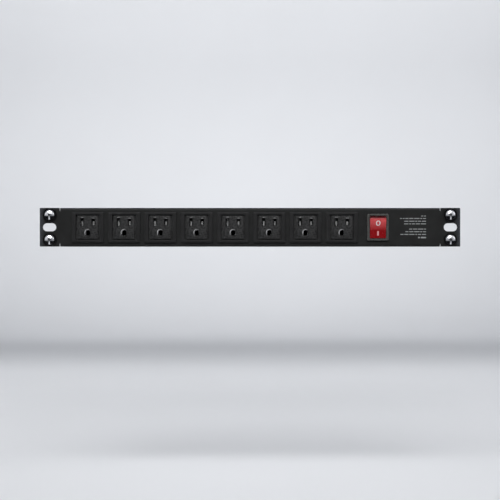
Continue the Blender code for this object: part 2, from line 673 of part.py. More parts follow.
def switch_rocker(pivot):
    """Red see-saw button: a shell with a V-shaped face, two trunnions and the plunger's stem."""
    half = ROCKER_WIDTH / 2
    rocker = outline("switch_rocker", rocker_outline(), -half, half, "X", ROCKER_RED)
    inner = half - ROCKER_WALL
    boolean(rocker, outline("rocker hollow", rocker_outline(ROCKER_WALL), -inner, inner, "X"))
    bm = bmesh.new()
    add_rod(bm, (STEM_X, STEM_START, 0), (STEM_X, STEM_END, 0), STEM_RADIUS)
    post_x, post_z = LAMP_POST
    post_end = LAMP_Y - LAMP_RADIUS - GAP
    for z in (-LAMP_POST_Z, LAMP_POST_Z):
        add_box(bm, (LAMP_X - post_x, LAMP_POST_START, z - post_z),
                (LAMP_X + post_x, post_end, z + post_z))
    boolean(rocker, from_bmesh("stem and lamp posts", bm), "UNION")
    bm = bmesh.new()
    add_rod(bm, (STEM_X, STEM_BORE_START, 0), (STEM_X, STEM_END + CUT, 0), STEM_BORE)
    boolean(rocker, from_bmesh("stem bore", bm))
    for side in (-1, 1):
        bm = bmesh.new()
        start, end = side * (half - GAP), side * (half + PIVOT_LENGTH)
        add_rod(bm, (start, 0, 0), (end, 0, 0), PIVOT_RADIUS)
        boolean(rocker, from_bmesh(f"trunnion {side}", bm), "UNION")
    pieces = [baked(rocker)]
    bm = bmesh.new()
    nose = PLUNGER_TIP - PLUNGER_NOSE
    add_rod(bm, (STEM_X, PLUNGER_START, 0), (STEM_X, nose, 0), PLUNGER_RADIUS,
            steps=PLUNGER_STEPS)
    plunger = from_bmesh("switch_plunger", bm, INNER_PLASTIC, True)
    bm = bmesh.new()
    start, end = (STEM_X, nose - GAP, 0), (STEM_X, PLUNGER_TIP, 0)
    add_rod(bm, start, end, PLUNGER_RADIUS * 0.97, PLUNGER_RADIUS * 0.4, PLUNGER_STEPS)
    boolean(plunger, from_bmesh("plunger tip", bm), "UNION")
    pieces.append(baked(plunger))
    pieces.append(plunger_spring())
    pieces.append(switch_lamp())
    for piece in pieces:
        piece.parent = pivot


def plunger_spring():
    start, end = STEM_BORE_START + 2 * SPRING_WIRE, PLUNGER_START - 2 * SPRING_WIRE
    count = SPRING_TURNS * 10
    curve = bpy.data.curves.new("plunger_spring", "CURVE")
    curve.dimensions = "3D"
    curve.bevel_depth = SPRING_WIRE
    curve.bevel_resolution = 2
    curve.use_fill_caps = True
    spline = curve.splines.new("POLY")
    spline.points.add(count)
    for i, point in enumerate(spline.points):
        turn = 2 * math.pi * SPRING_TURNS * i / count
        y = start + (end - start) * i / count
        x, z = SPRING_RADIUS * math.cos(turn), SPRING_RADIUS * math.sin(turn)
        point.co = (STEM_X + x, y, z, 1)
    return finish(bpy.data.objects.new("plunger_spring", curve), ZINC)


def switch_lamp():
    """Small neon lamp inside the rocker."""
    reach = LAMP_LENGTH / 2 - LAMP_RADIUS
    cap = [math.radians(90 * i / 4) for i in range(5)]
    top = [(LAMP_RADIUS * math.sin(a), reach + LAMP_RADIUS * math.cos(a)) for a in cap]
    bottom = [(radius, -height) for radius, height in reversed(top)]
    return turned("switch_lamp", top + bottom, (LAMP_X, LAMP_Y, 0), (0, 0, 1), LAMP_GLASS, 12)


def switch_housing():
    """Snap-in switch body with its bezel, the rocker's well and holes for the three terminals."""
    back = FRONT_Y - GAP
    front = back - BEZEL_THICK
    bm = bmesh.new()
    add_box(bm, *box_at(SWITCH_X, 0, BEZEL_SIZE, front, back))
    sides = [e for e in bm.edges if abs(e.verts[0].co.y - e.verts[1].co.y) > MM]
    bmesh.ops.bevel(bm, geom=sides, offset=BEZEL_CORNER, segments=3, profile=0.5, affect="EDGES")
    rim = [e for e in bm.edges if all(abs(v.co.y - front) < 1e-6 for v in e.verts)]
    bmesh.ops.bevel(bm, geom=rim, offset=BEZEL_EDGE, segments=2, profile=0.5, affect="EDGES")
    housing = from_bmesh("switch_housing", bm, BEZEL_PLASTIC)
    body = box_at(SWITCH_X, 0, HOUSING_SIZE, back - GAP, HOUSING_END_Y)
    boolean(housing, boxes("switch body", [body]), "UNION")
    add_latches(housing, SWITCH_X, HOUSING_SIZE[1] / 2)
    well = box_at(SWITCH_X, 0, WELL_SIZE, front - CUT, WELL_END_Y)
    boolean(housing, boxes("switch well", [well]))
    bm = bmesh.new()
    reach = ROCKER_WIDTH / 2 + PIVOT_LENGTH + GAP
    start, end = (SWITCH_X - reach, PIVOT_Y, 0), (SWITCH_X + reach, PIVOT_Y, 0)
    add_rod(bm, start, end, PIVOT_RADIUS + GAP)
    boolean(housing, from_bmesh("pivot holes", bm))
    slot = (TERMINAL_WIDTH + 2 * GAP, TERMINAL_THICK + 2 * GAP)
    through = (WELL_END_Y - CUT, HOUSING_END_Y + CUT)
    cuts = [box_at(x, z, slot, *through) for _, x, z in terminal_places()]
    boolean(housing, boxes("terminal slots", cuts))


def terminal_places():
    """(name, x, z) of the three terminals."""
    contact = SWITCH_X + STEM_X
    return [
        ("line_out", contact, TERMINAL_Z),
        ("line_in", contact, 0.0),
        ("lamp", SWITCH_X + LAMP_X, -TERMINAL_Z),
    ]


def switch_terminals():
    half = TERMINAL_THICK / 2
    foot = CONTACT_PIVOT_Y + GAP
    for name, x, z in terminal_places():
        if name == "line_in":
            start = CONTACT_PIVOT_Y - CONTACT_NOTCH + GAP
            points = [
                (start, 0), (start + MM, half), (TERMINAL_END_Y, half),
                (TERMINAL_END_Y, -half), (start + MM, -half),
            ]
        else:
            inward = -1 if z > 0 else 1
            tip = z + inward * TERMINAL_REACH
            points = [
                (foot, z - inward * half), (TERMINAL_END_Y, z - inward * half),
                (TERMINAL_END_Y, z + inward * half), (foot + TERMINAL_THICK, z + inward * half),
                (foot + TERMINAL_THICK, tip), (foot, tip),
            ]
        low, high = x - TERMINAL_WIDTH / 2, x + TERMINAL_WIDTH / 2
        outline(f"switch_terminal_{name}", points, low, high, "X", TINNED_BRASS)


def tilting_contact(pivot):
    """See-saw contact, a shallow V, that the plunger tips from one side to the other."""
    front = -TERMINAL_THICK
    bow = CONTACT_HALF * math.tan(CONTACT_TILT)
    notch = CONTACT_NOTCH
    points = [
        (front - bow, CONTACT_HALF), (front, 0), (front - bow, -CONTACT_HALF),
        (-bow, -CONTACT_HALF), (0, -notch), (-notch, 0), (0, notch), (-bow, CONTACT_HALF),
    ]
    low, high = STEM_X - CONTACT_WIDTH / 2, STEM_X + CONTACT_WIDTH / 2
    contact = outline("tilting_contact", points, low, high, "X", TINNED_BRASS)
    contact.parent = pivot


def switch():
    """The switch, with the rocker and the contact at their ON tilt."""
    for name, y, tilt, make in (
        ("rocker pivot", PIVOT_Y, TILT, switch_rocker),
        ("contact pivot", CONTACT_PIVOT_Y, -CONTACT_TILT, tilting_contact),
    ):
        pivot = bpy.data.objects.new(name, None)
        PARTS.objects.link(pivot)
        make(pivot)
        pivot.location = (SWITCH_X, y, 0)
        pivot.rotation_euler.x = tilt
    switch_housing()
    switch_terminals()


def hexagon(name, y_low, y_high):
    bm = bmesh.new()
    add_rod(bm, (GLAND_X, y_low, 0), (GLAND_X, y_high, 0), GLAND_HEX, steps=6)
    return from_bmesh(name, bm, GLAND_NYLON)


def gland_rod(obj, name, y_low, y_high, radius, operation="DIFFERENCE"):
    """Adds to, or bores out, a piece of the gland along its axis."""
    bm = bmesh.new()
    add_rod(bm, (GLAND_X, y_low, 0), (GLAND_X, y_high, 0), radius, steps=FINE)
    boolean(obj, from_bmesh(name, bm), operation)


def cord_gland():
    """Compression gland in the back: body, locknut, rubber seal and cap, open for the cord."""
    flange = BACK_Y + GAP
    tube = flange + GLAND_FLANGE
    tube_end = tube + GLAND_TUBE_LENGTH
    seat = tube - GLAND_SEAT_DEPTH
    thread_start = COVER_INNER_Y - GLAND_THREAD_LENGTH
    body = hexagon("gland_body", flange, tube)
    gland_rod(body, "gland thread", thread_start, flange + GAP, GLAND_THREAD, "UNION")
    gland_rod(body, "gland tube", tube - GAP, tube_end, GLAND_TUBE, "UNION")
    gland_rod(body, "gland bore", thread_start - CUT, tube_end + CUT, GLAND_BORE)
    gland_rod(body, "gland seat", seat, tube_end + CUT, GLAND_SEAT)
    nut_back = COVER_INNER_Y - GAP
    nut = hexagon("gland_locknut", nut_back - LOCKNUT_THICK, nut_back)
    gland_rod(nut, "nut bore", nut_back - LOCKNUT_THICK - CUT, nut_back + CUT, GLAND_THREAD + GAP)
    seal_end = tube_end + SEAL_STANDS_OUT
    length = seal_end - seat - GAP
    hole, outside = SEAL_RADII
    seal = [(outside, length), (outside, 0), (hole, 0), (hole, length)]
    turned("gland_seal", seal, (GLAND_X, seat + GAP, 0), (0, 1, 0), SEAL_RUBBER, FINE, True)
    cap_floor = tube + GAP
    inner_top = seal_end + GAP - cap_floor
    (mouth, mouth_rise), (rim, rim_rise) = CAP_TOP
    cap = [
        (mouth, inner_top + mouth_rise), (rim, inner_top + rim_rise),
        (CAP_RADIUS, inner_top - CAP_SHOULDER), (CAP_RADIUS, 0), (CAP_SKIRT_BORE, 0),
        (CAP_SKIRT_BORE, inner_top), (CAP_BORE, inner_top), (CAP_BORE, inner_top + mouth_rise),
    ]
    turned("gland_cap", cap, (GLAND_X, cap_floor, 0), (0, 1, 0), GLAND_NYLON, FINE, True)


def ground_point():
    """Screw in the rear cover that clamps the ground wire's ring lug."""
    front, back = COVER_INNER_Y - GAP - LUG_THICK, COVER_INNER_Y - GAP
    bm = bmesh.new()
    add_rod(bm, (GROUND_X, front, GROUND_Z), (GROUND_X, back, GROUND_Z), LUG_RADIUS)
    lug = from_bmesh("ground_lug", bm, TINNED_BRASS)
    start, end, half = LUG_TONGUE
    tongue = (
        (GROUND_X - start, front, GROUND_Z - half),
        (GROUND_X - end, back, GROUND_Z + half),
    )
    boolean(lug, boxes("lug tongue", [tongue]), "UNION")
    bm = bmesh.new()
    add_rod(bm, (GROUND_X, front - CUT, GROUND_Z), (GROUND_X, back + CUT, GROUND_Z), M4_HOLE)
    boolean(lug, from_bmesh("lug hole", bm))
    pan = pan_screw(*GROUND_SCREW)
    turned("ground_screw", pan, (GROUND_X, front - GAP, GROUND_Z), (0, -1, 0), ZINC, COARSE)


def smooth_route(points, per_span=4):
    """Points on a Catmull-Rom curve through the route's own points."""
    points = [Vector(p) for p in points]
    padded = [2 * points[0] - points[1], *points, 2 * points[-1] - points[-2]]
    route = []
    for a, b, c, d in zip(padded, padded[1:], padded[2:], padded[3:]):
        for i in range(per_span):
            t = i / per_span
            route.append(
                0.5 * (2 * b + (c - a) * t + (2 * a - 5 * b + 4 * c - d) * t * t
                       + (3 * b - a - 3 * c + d) * t ** 3)
            )
    return [*route, points[-1]]


def wire(name, points, material):
    curve = bpy.data.curves.new(name, "CURVE")
    curve.dimensions = "3D"
    curve.bevel_depth = WIRE_RADIUS
    curve.bevel_resolution = 2
    curve.use_fill_caps = True
    route = smooth_route(points)
    spline = curve.splines.new("POLY")
    spline.points.add(len(route) - 1)
    for point, place in zip(spline.points, route):
        point.co = (*place, 1)
    finish(bpy.data.objects.new(name, curve), material)


def inner_wires():
    """Wires from the bus bars' ends to the switch and to the ground point."""
    start_x = BAR_END_X + 2 * GAP
    start_y = (BAR_FRONT_Y + BAR_BACK_Y) / 2
    end_y = TERMINAL_END_Y + 2 * GAP
    (_, out_x, out_z), _, (_, lamp_x, lamp_z) = terminal_places()
    bar_z = {name: low + BAR_THICK / 2 for name, (low, *_) in BARS.items()}
    wire("wire_line", [
        (start_x, start_y, bar_z["line"]),
        (start_x + LEAD, start_y, bar_z["line"]),
        (start_x + FIRST_BEND, 22 * MM, 4 * MM),
        (start_x + 11 * MM, 32 * MM, 7 * MM),
        (out_x - 3 * MM, 35.5 * MM, out_z),
        (out_x, 33 * MM, out_z),
        (out_x, end_y, out_z),
    ], WIRE_BLACK)
    wire("wire_neutral", [
        (start_x, start_y, bar_z["neutral"]),
        (start_x + LEAD, start_y, bar_z["neutral"]),
        (start_x + FIRST_BEND, 28 * MM, 14 * MM),
        (138 * MM, 37 * MM, 14.5 * MM),
        (148 * MM, 38 * MM, 6 * MM),
        (lamp_x + MM, 37 * MM, -4 * MM),
        (lamp_x, 33 * MM, lamp_z),
        (lamp_x, end_y, lamp_z),
    ], WIRE_WHITE)
    wire("wire_ground", [
        (start_x, start_y, bar_z["ground"]),
        (start_x + LEAD, start_y, bar_z["ground"]),
        (start_x + FIRST_BEND, 24 * MM, -15 * MM),
        (136 * MM, 36 * MM, -15.5 * MM),
        (144 * MM, 38.8 * MM, -12 * MM),
        (GROUND_X - LUG_TONGUE[0] - 4 * MM, 39.2 * MM, GROUND_Z),
        (GROUND_X - LUG_TONGUE[0] - GAP, 39.2 * MM, GROUND_Z),
    ], WIRE_GREEN)


front_cover()
rear_cover()
case_screws()
rack_fixings()
outlets()
bus_bars()
bus_bar_cover()
switch()
cord_gland()
ground_point()
inner_wires()
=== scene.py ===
"""The looks of the rack power strip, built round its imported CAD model.

Metres, +X to the right, +Y to the back of the rack, +Z up, with the outlets facing -Y.
"""

import math

import bmesh
import bpy
from mathutils import Matrix, Vector


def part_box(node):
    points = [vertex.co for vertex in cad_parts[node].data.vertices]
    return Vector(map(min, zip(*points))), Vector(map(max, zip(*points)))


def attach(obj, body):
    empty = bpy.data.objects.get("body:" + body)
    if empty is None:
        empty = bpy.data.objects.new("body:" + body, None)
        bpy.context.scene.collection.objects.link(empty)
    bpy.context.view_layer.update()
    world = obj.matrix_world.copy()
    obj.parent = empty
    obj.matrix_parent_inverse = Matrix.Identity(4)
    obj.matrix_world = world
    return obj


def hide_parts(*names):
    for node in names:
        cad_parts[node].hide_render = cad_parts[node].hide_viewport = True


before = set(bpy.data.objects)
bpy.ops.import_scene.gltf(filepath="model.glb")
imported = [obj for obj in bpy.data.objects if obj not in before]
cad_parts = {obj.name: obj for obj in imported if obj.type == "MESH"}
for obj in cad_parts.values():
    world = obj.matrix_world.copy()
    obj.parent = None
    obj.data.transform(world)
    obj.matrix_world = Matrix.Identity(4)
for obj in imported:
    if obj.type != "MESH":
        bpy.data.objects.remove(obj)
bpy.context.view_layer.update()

MM = 0.001
GAP = 0.3 * MM  # the CAD's gap between pieces that touch
LEFT, RIGHT = -1, 1
UP, DOWN = 1, -1

# Camera
CAMERA_DISTANCE = 1.5
CAMERA_DROP = 26.1 * MM  # the camera is level, and this far below the strip's middle
FRAME_WIDTH = 574.5 * MM  # seen at the rack plane
SENSOR = 36.0

# Sheet metal
FRONT_SHEET = 2.0 * MM
REAR_SHEET = 1.5 * MM
FOLD = 3.0 * MM
BODY_HALF_WIDTH = 218 * MM
RELIEF = 0.5 * MM  # notch between a fold's end and the ear
EDGE = 0.2 * MM  # rounding of a cut edge
OUTLET_WINDOW = (15.5 * MM, 16.3 * MM)  # half its width and height
SWITCH_WINDOW = (11.1 * MM, 14.5 * MM)
EAR_PAINTED_SHEEN_START, EAR_PAINTED_SHEEN_END = 235.2 * MM, 240.5 * MM  # x over which a painted sheen makes the ears paler

COVER_SCREWS = [
    (f"cover_screw_{word}_{number}", side) for word, side in (("top", UP), ("bottom", DOWN))
    for number in (1, 2, 3)
]
EAR_SLOTS = (  # x, z, length, height
    (231.1 * MM, 15 * MM, 12.4 * MM, 8.2 * MM),
    (231.1 * MM, -15 * MM, 12.4 * MM, 8.2 * MM),
    (230.05 * MM, 0, 15.3 * MM, 9.3 * MM),
)

# Outlets
BLADE_X = 6.35 * MM
PIN_Z = 5.93 * MM
NEUTRAL_SLOT = (2.6 * MM, 8.6 * MM)
LINE_SLOT = (2.6 * MM, 6.8 * MM)
SLOT_FLARE, GROUND_FLARE = 0.75 * MM, 0.1 * MM  # how far a hole widens at its mouth, on each side
GROUND_RADIUS = 2.75 * MM
GROUND_FLOOR_Z = -9.3 * MM
RIDGE_HEIGHT = 0.2 * MM  # of the ridges round the holes, over the core's face
RIDGE_WIDTH = 1.1 * MM
BAR_THICK, BAR_DEEP = 0.8 * MM, 7 * MM  # the bus bars' strips

# Switch
PIVOT_Y = -0.2 * MM
TILT = math.radians(12)
ROCKER_WIDTH = 18.5 * MM
ROCKER_RADIUS = 13.22 * MM
ROCKER_MIDDLE = 4.09 * MM  # from the pivot forward to where the face's two slopes would meet
ROCKER_WALL = 1.6 * MM


# --------------------------------------
# Materials


class Nodes:
    """A material's node tree, with short calls for the nodes that the materials below share."""

    def __init__(self, name, colour, roughness, metallic=0.0, **sockets):
        self.material = bpy.data.materials.new(name)
        self.material.use_nodes = True
        self.tree = self.material.node_tree
        self.shader = self.tree.nodes["Principled BSDF"]
        self.shader.inputs["Base Color"].default_value = (*colour, 1)
        self.shader.inputs["Roughness"].default_value = roughness
        self.shader.inputs["Metallic"].default_value = metallic
        for socket, value in sockets.items():
            self.shader.inputs[socket.replace("_", " ")].default_value = value
        self.colour = colour
        self.place = self.add("ShaderNodeTexCoord").outputs["Object"]

    def add(self, kind, sockets=None, **settings):
        """A node. Each of its sockets gets a number or a vector, or is linked to an output."""
        node = self.tree.nodes.new(kind)
        for key, value in settings.items():
            setattr(node, key, value)
        for socket, value in (sockets or {}).items():
            if isinstance(value, bpy.types.NodeSocket):
                self.link(value, node.inputs[socket])
            else:
                node.inputs[socket].default_value = value
        return node

    def link(self, out, into):
        self.tree.links.new(out, into)

    def noise(self, size, detail=2.0, stretch=None):
        """Noise with features about size across. stretch draws it out along X, Y and Z."""
        place = self.place
        if stretch:
            scale = [1 / s for s in stretch]
            place = self.add("ShaderNodeMapping", {"Scale": scale, "Vector": place}).outputs["Vector"]
        sockets = {"Scale": 1 / size, "Detail": detail, "Vector": place}
        return self.add("ShaderNodeTexNoise", sockets).outputs["Fac"]

    def cells(self, size):
        """Distance to the middle of the nearest of many cells about size across."""
        sockets = {"Scale": 1 / size, "Vector": self.place}
        return self.add("ShaderNodeTexVoronoi", sockets).outputs["Distance"]

    def spread(self, value, low, high, start=0.3, end=0.7):
        """Maps start..end of a value to low..high, and holds it outside."""
        sockets = {"Value": value, "From Min": start, "From Max": end, "To Min": low, "To Max": high}
        return self.add("ShaderNodeMapRange", sockets).outputs["Result"]

    def axis(self, letter, absolute=False):
        """The place along one axis, in metres."""
        out = self.add("ShaderNodeSeparateXYZ", {0: self.place}).outputs[letter]
        return self.add("ShaderNodeMath", {0: out}, operation="ABSOLUTE").outputs[0] if absolute else out

    def times(self, a, b):
        return self.add("ShaderNodeMath", {0: a, 1: b}, operation="MULTIPLY").outputs[0]

    def blend_colours(self, factor, first, second):
        """From first to second as factor goes from 0 to 1. Each is a colour or an output."""
        first, second = [(*c, 1) if isinstance(c, tuple) else c for c in (first, second)]
        sockets = {"Factor": factor, 6: first, 7: second}
        return self.add("ShaderNodeMix", sockets, data_type="RGBA").outputs[2]

    def colour_from(self, factor, first, second):
        self.link(self.blend_colours(factor, first, second), self.shader.inputs["Base Color"])

    def roughness_from(self, factor, low, high):
        self.link(self.spread(factor, low, high), self.shader.inputs["Roughness"])

    def bumps(self, *layers):
        """Each layer is (height, depth in metres). The last one is on top."""
        below = {}
        for height, depth in layers:
            sockets = {"Strength": 1, "Distance": depth, "Height": height, **below}
            normal = self.add("ShaderNodeBump", sockets).outputs["Normal"]
            below = {"Normal": normal}
        self.link(normal, self.shader.inputs["Normal"])


def shades(colour, low, high):
    """A darker and a lighter version of a colour."""
    return tuple(c * low for c in colour), tuple(c * high for c in colour)


def plain(name, colour, roughness, clouds, polish, grain, **sockets):
    """One colour, clouded and grained.

    clouds is (size, detail, darkest, lightest), polish is (size, least and most roughness) and
    grain is (size, detail, depth).
    """
    n = Nodes(name, colour, roughness, **sockets)
    size, detail, dark, light = clouds
    n.colour_from(n.spread(n.noise(size, detail), 0, 1), *shades(colour, dark, light))
    size, least, most = polish
    n.roughness_from(n.noise(size), least, most)
    size, detail, depth = grain
    n.bumps((n.noise(size, detail), depth))
    return n.material


def case_paint():
    """Black powder coat: satin, with faint orange peel, and a painted sheen that makes the ears paler and
    bluer at their outer edges.
    """
    n = Nodes("case_paint", (0.0145, 0.0148, 0.0145), 0.5, Specular_IOR_Level=0.1)
    broad = n.spread(n.noise(14 * MM), 0, 1)
    paint = n.blend_colours(broad, *shades(n.colour, 0.85, 1.15))
    # Painted sheen: the paint turns paler and bluish, speckled, towards the ears' outer edges
    outwards = n.spread(n.axis("X", absolute=True), 0, 1, EAR_PAINTED_SHEEN_START, EAR_PAINTED_SHEEN_END)
    speckle = n.spread(n.noise(0.9 * MM, 4), 0.3, 1, 0.4, 0.62)
    n.colour_from(n.times(outwards, speckle), paint, (0.05, 0.052, 0.061))
    n.roughness_from(n.noise(2.2 * MM), 0.45, 0.56)
    n.bumps((n.noise(1.6 * MM), 0.012 * MM), (n.noise(0.35 * MM), 0.004 * MM))
    return n.material


def core_plastic():
    """Charcoal moulded plastic with a spark-eroded texture."""
    n = Nodes("core_plastic", (0.0205, 0.0205, 0.0205), 0.6, Specular_IOR_Level=0.15)
    grain = n.noise(1.5 * MM, 4)
    n.colour_from(n.spread(grain, 0, 1, 0.38, 0.62), *shades(n.colour, 0.4, 1.75))
    n.roughness_from(n.noise(2 * MM), 0.52, 0.66)
    n.bumps((grain, 0.2 * MM), (n.cells(0.5 * MM), 0.02 * MM))
    return n.material


def rim_plastic():
    """The ridges round the core's holes: polished, with a painted highlight that makes the ground hole's
    ridge pale towards the left and the ridges over the blade slots grey.
    """
    n = Nodes("rim_plastic", (0.02, 0.02, 0.02), 0.3)
    # Painted highlight: the ground hole's ridge pales towards the left, in patches
    painted_highlight_left = n.spread(n.axis("X"), 0, 1, 2.5 * MM, -3.2 * MM)
    patchy = n.spread(n.noise(1.2 * MM), 0.75, 1)
    arch_highlight = n.blend_colours(n.times(painted_highlight_left, patchy), n.colour, (0.36, 0.36, 0.365))
    # Painted highlight: the ridges over the blade slots, above z = 0, are grey
    n.colour_from(n.spread(n.axis("Z"), 0, 1, 0, MM), arch_highlight, (0.1, 0.1, 0.1))
    n.roughness_from(n.noise(0.8 * MM), 0.24, 0.4)
    n.bumps((n.noise(0.7 * MM), 0.01 * MM))
    return n.material


def rocker_plastic():
    """Red translucent plastic, with a painted sheen that makes it paler towards the raised end, and a painted
    shadow along its top edge.
    """
    n = Nodes("rocker_plastic", (0.19, 0.0025, 0.004), 0.3, Subsurface_Weight=0.12,
              Subsurface_Scale=0.002, Specular_IOR_Level=0.3)
    n.shader.inputs["Subsurface Radius"].default_value = (1.0, 0.15, 0.1)
    # Painted sheen: the face pales towards pink going up
    painted_face_sheen = n.spread(n.axis("Z"), 0, 1, -4 * MM, 8 * MM)
    cloud = n.spread(n.noise(1.5 * MM, 3), 0.75, 1)
    face = n.blend_colours(n.times(painted_face_sheen, cloud), n.colour, (0.68, 0.085, 0.09))
    # Painted shadow: the top edge darkens to deep red
    edge = n.spread(n.axis("Z"), 0, 1, 8.5 * MM, 11 * MM)
    n.colour_from(edge, face, (0.045, 0.002, 0.003))
    n.roughness_from(n.noise(1.2 * MM, 3), 0.16, 0.3)
    n.bumps((n.noise(1.4 * MM), 0.01 * MM), (n.noise(0.3 * MM), 0.003 * MM))
    return n.material


def print_ink(name, colour):
    """Pad-printed ink, a little uneven."""
    clouds, polish, grain = (0.35 * MM, 3, 0.7, 1.0), (0.5 * MM, 0.4, 0.6), (0.2 * MM, 2, 0.004 * MM)
    return plain(name, colour, 0.45, clouds, polish, grain)


def bright_metal(name, colour, roughness, stretch, tarnish):
    """Plated or rolled metal: drawn scratches, and a little tarnish."""
    n = Nodes(name, colour, roughness, 1.0)
    scratches = n.noise(0.25 * MM, 3, stretch)
    stain = n.spread(n.noise(3 * MM, 4), 0, tarnish, 0.45, 0.75)
    n.colour_from(stain, colour, tuple(c * 0.45 for c in colour))
    n.roughness_from(scratches, roughness * 0.75, roughness * 1.35)
    n.bumps((scratches, 0.004 * MM))
    return n.material


def rack_screw_metal(top):
    """Bright plating, with a painted dark reflection on the lower part of the head and painted shade in the
    recess. top is the head's front y.
    """
    n = Nodes("rack_screw_metal", (0.9, 0.9, 0.92), 0.3, 1.0)
    patchy = n.blend_colours(n.noise(1.5 * MM, 3), *shades(n.colour, 0.85, 1.05))
    # Painted dark reflection: the lower part of the head, all but a narrow middle strip, is darkened
    low = n.spread(n.axis("Z"), 0, 1, -0.7 * MM, -1.8 * MM)
    beside = n.spread(n.axis("X", absolute=True), 0, 1, 0.6 * MM, 1.0 * MM)
    head = n.blend_colours(n.times(low, beside), patchy, (0.012, 0.012, 0.014))
    # Painted shade: the cross recess is darkened
    deep = n.spread(n.axis("Y"), 0, 1, top + 0.3 * MM, top + 1.0 * MM)
    narrow = n.spread(n.axis("X", absolute=True), 0, 1, 1.9 * MM, 1.6 * MM)
    short = n.spread(n.axis("Z", absolute=True), 0, 1, 1.9 * MM, 1.6 * MM)
    n.colour_from(n.times(deep, n.times(narrow, short)), head, (0.1, 0.1, 0.105))
    n.roughness_from(n.noise(0.8 * MM), 0.24, 0.38)
    n.bumps((n.noise(0.6 * MM), 0.004 * MM))
    return n.material


def washer_plastic():
    """Soft black nylon."""
    n = Nodes("washer_plastic", (0.0015, 0.0015, 0.0018), 0.5, Specular_IOR_Level=0.15)
    n.roughness_from(n.noise(1.0 * MM), 0.44, 0.56)
    n.bumps((n.noise(0.6 * MM), 0.01 * MM))
    return n.material


def wire_jacket(name, colour):
    """Extruded insulation."""
    clouds, polish, grain = (4 * MM, 3, 0.8, 1.05), (0.8 * MM, 0.34, 0.5), (0.6 * MM, 2, 0.015 * MM)
    return plain(name, colour, 0.4, clouds, polish, grain)


def lamp_glass():
    n = Nodes("lamp_glass", (1.0, 0.5, 0.3), 0.06, Transmission_Weight=0.8)
    n.colour_from(n.spread(n.axis("Z"), 0, 1, -4 * MM, 4 * MM), (1.0, 0.42, 0.2), (1.0, 0.62, 0.42))
    n.roughness_from(n.noise(2 * MM), 0.04, 0.12)
    n.bumps((n.noise(1.5 * MM), 0.01 * MM))
    return n.material


def stage_paper():
    """Matte pale paper for the floor and the backdrop."""
    n = Nodes("stage_paper", (0.72, 0.73, 0.75), 0.9, Specular_IOR_Level=0.2)
    n.colour_from(n.spread(n.noise(0.3, 2), 0, 1), *shades(n.colour, 0.985, 1.0))
    return n.material


CASE = case_paint()
FRAME_BLACK = plain("frame_plastic", (0.0145, 0.0145, 0.0146), 0.5, (9 * MM, 2, 0.85, 1.2),
                    (1.5 * MM, 0.44, 0.56), (0.5 * MM, 3, 0.006 * MM), Specular_IOR_Level=0.12)
CORE = core_plastic()
RIM = rim_plastic()
# The walls and mouths of the core's holes: dull, and painted nearly black as the shade inside the holes
SLOT = plain("slot_painted_shade", (0.0025, 0.0025, 0.0025), 0.75, (1 * MM, 2, 0.7, 1.4),
             (0.8 * MM, 0.68, 0.82), (0.4 * MM, 2, 0.01 * MM), Specular_IOR_Level=0.15)
BEZEL = plain("bezel_plastic", (0.056, 0.056, 0.053), 0.3, (5 * MM, 2, 0.9, 1.15),
              (1.8 * MM, 0.24, 0.36), (2.5 * MM, 2, 0.008 * MM), Specular_IOR_Level=0.2)
ROCKER = rocker_plastic()
GLYPH = print_ink("glyph_white", (0.85, 0.78, 0.78))
# The I's ink is the white ink, darkened and reddened as painted shade
GLYPH_PAINTED_SHADE = print_ink("glyph_ink_painted_shade", (0.62, 0.3, 0.31))
LABEL = print_ink("label_grey", (0.28, 0.29, 0.29))
INNER = plain("inner_plastic", (0.62, 0.59, 0.52), 0.45, (18 * MM, 2, 0.85, 1.05),
              (3 * MM, 0.38, 0.55), (0.8 * MM, 2, 0.01 * MM), Subsurface_Weight=0.1, Subsurface_Scale=0.003)
PLATED = bright_metal("plated_steel", (0.82, 0.82, 0.84), 0.2, (6, 1, 1), 0.35)
SPRING_STEEL = bright_metal("spring_steel", (0.5, 0.5, 0.52), 0.3, (1, 1, 1), 0.3)
TINNED = bright_metal("tinned_brass", (0.45, 0.45, 0.445), 0.5, (12, 1, 1), 0.5)
WASHER = washer_plastic()
GLAND = plain("gland_nylon", (0.014, 0.014, 0.0145), 0.45, (6 * MM, 2, 0.8, 1.3),
              (1.2 * MM, 0.38, 0.55), (0.5 * MM, 3, 0.015 * MM))
RUBBER = plain("seal_rubber", (0.02, 0.02, 0.021), 0.75, (3 * MM, 4, 0.7, 1.5),
               (1 * MM, 0.65, 0.85), (0.4 * MM, 3, 0.03 * MM))
WIRES = {
    "wire_line": wire_jacket("wire_black", (0.012, 0.012, 0.012)),
    "wire_neutral": wire_jacket("wire_white", (0.7, 0.7, 0.68)),
    "wire_ground": wire_jacket("wire_green", (0.02, 0.22, 0.05)),
}


# --------------------------------------
# Mesh tools


def added(name, data, location=(0, 0, 0)):
    """A new object in the scene."""
    obj = bpy.data.objects.new(name, data)
    obj.location = location
    bpy.context.scene.collection.objects.link(obj)
    return obj


def smooth(mesh, sharp=32):
    """Shades a mesh smooth, except at edges sharper than the angle."""
    mesh.shade_smooth()
    mesh.set_sharp_from_angle(angle=math.radians(sharp))


def make(name, bm, material=None):
    """An object from a bmesh."""
    bmesh.ops.recalc_face_normals(bm, faces=bm.faces)
    mesh = bpy.data.meshes.new(name)
    bm.to_mesh(mesh)
    bm.free()
    if material:
        mesh.materials.append(material)
    smooth(mesh)
    return added(name, mesh)


def turn_to(direction):
    """The rotation that takes +Z to a direction."""
    return Vector((0, 0, 1)).rotation_difference(direction).to_matrix().to_4x4()


def box(bm, low, high):
    low, high = Vector(low), Vector(high)
    matrix = Matrix.Translation((low + high) / 2) @ Matrix.Diagonal((*(high - low), 1))
    bmesh.ops.create_cube(bm, size=1, matrix=matrix)


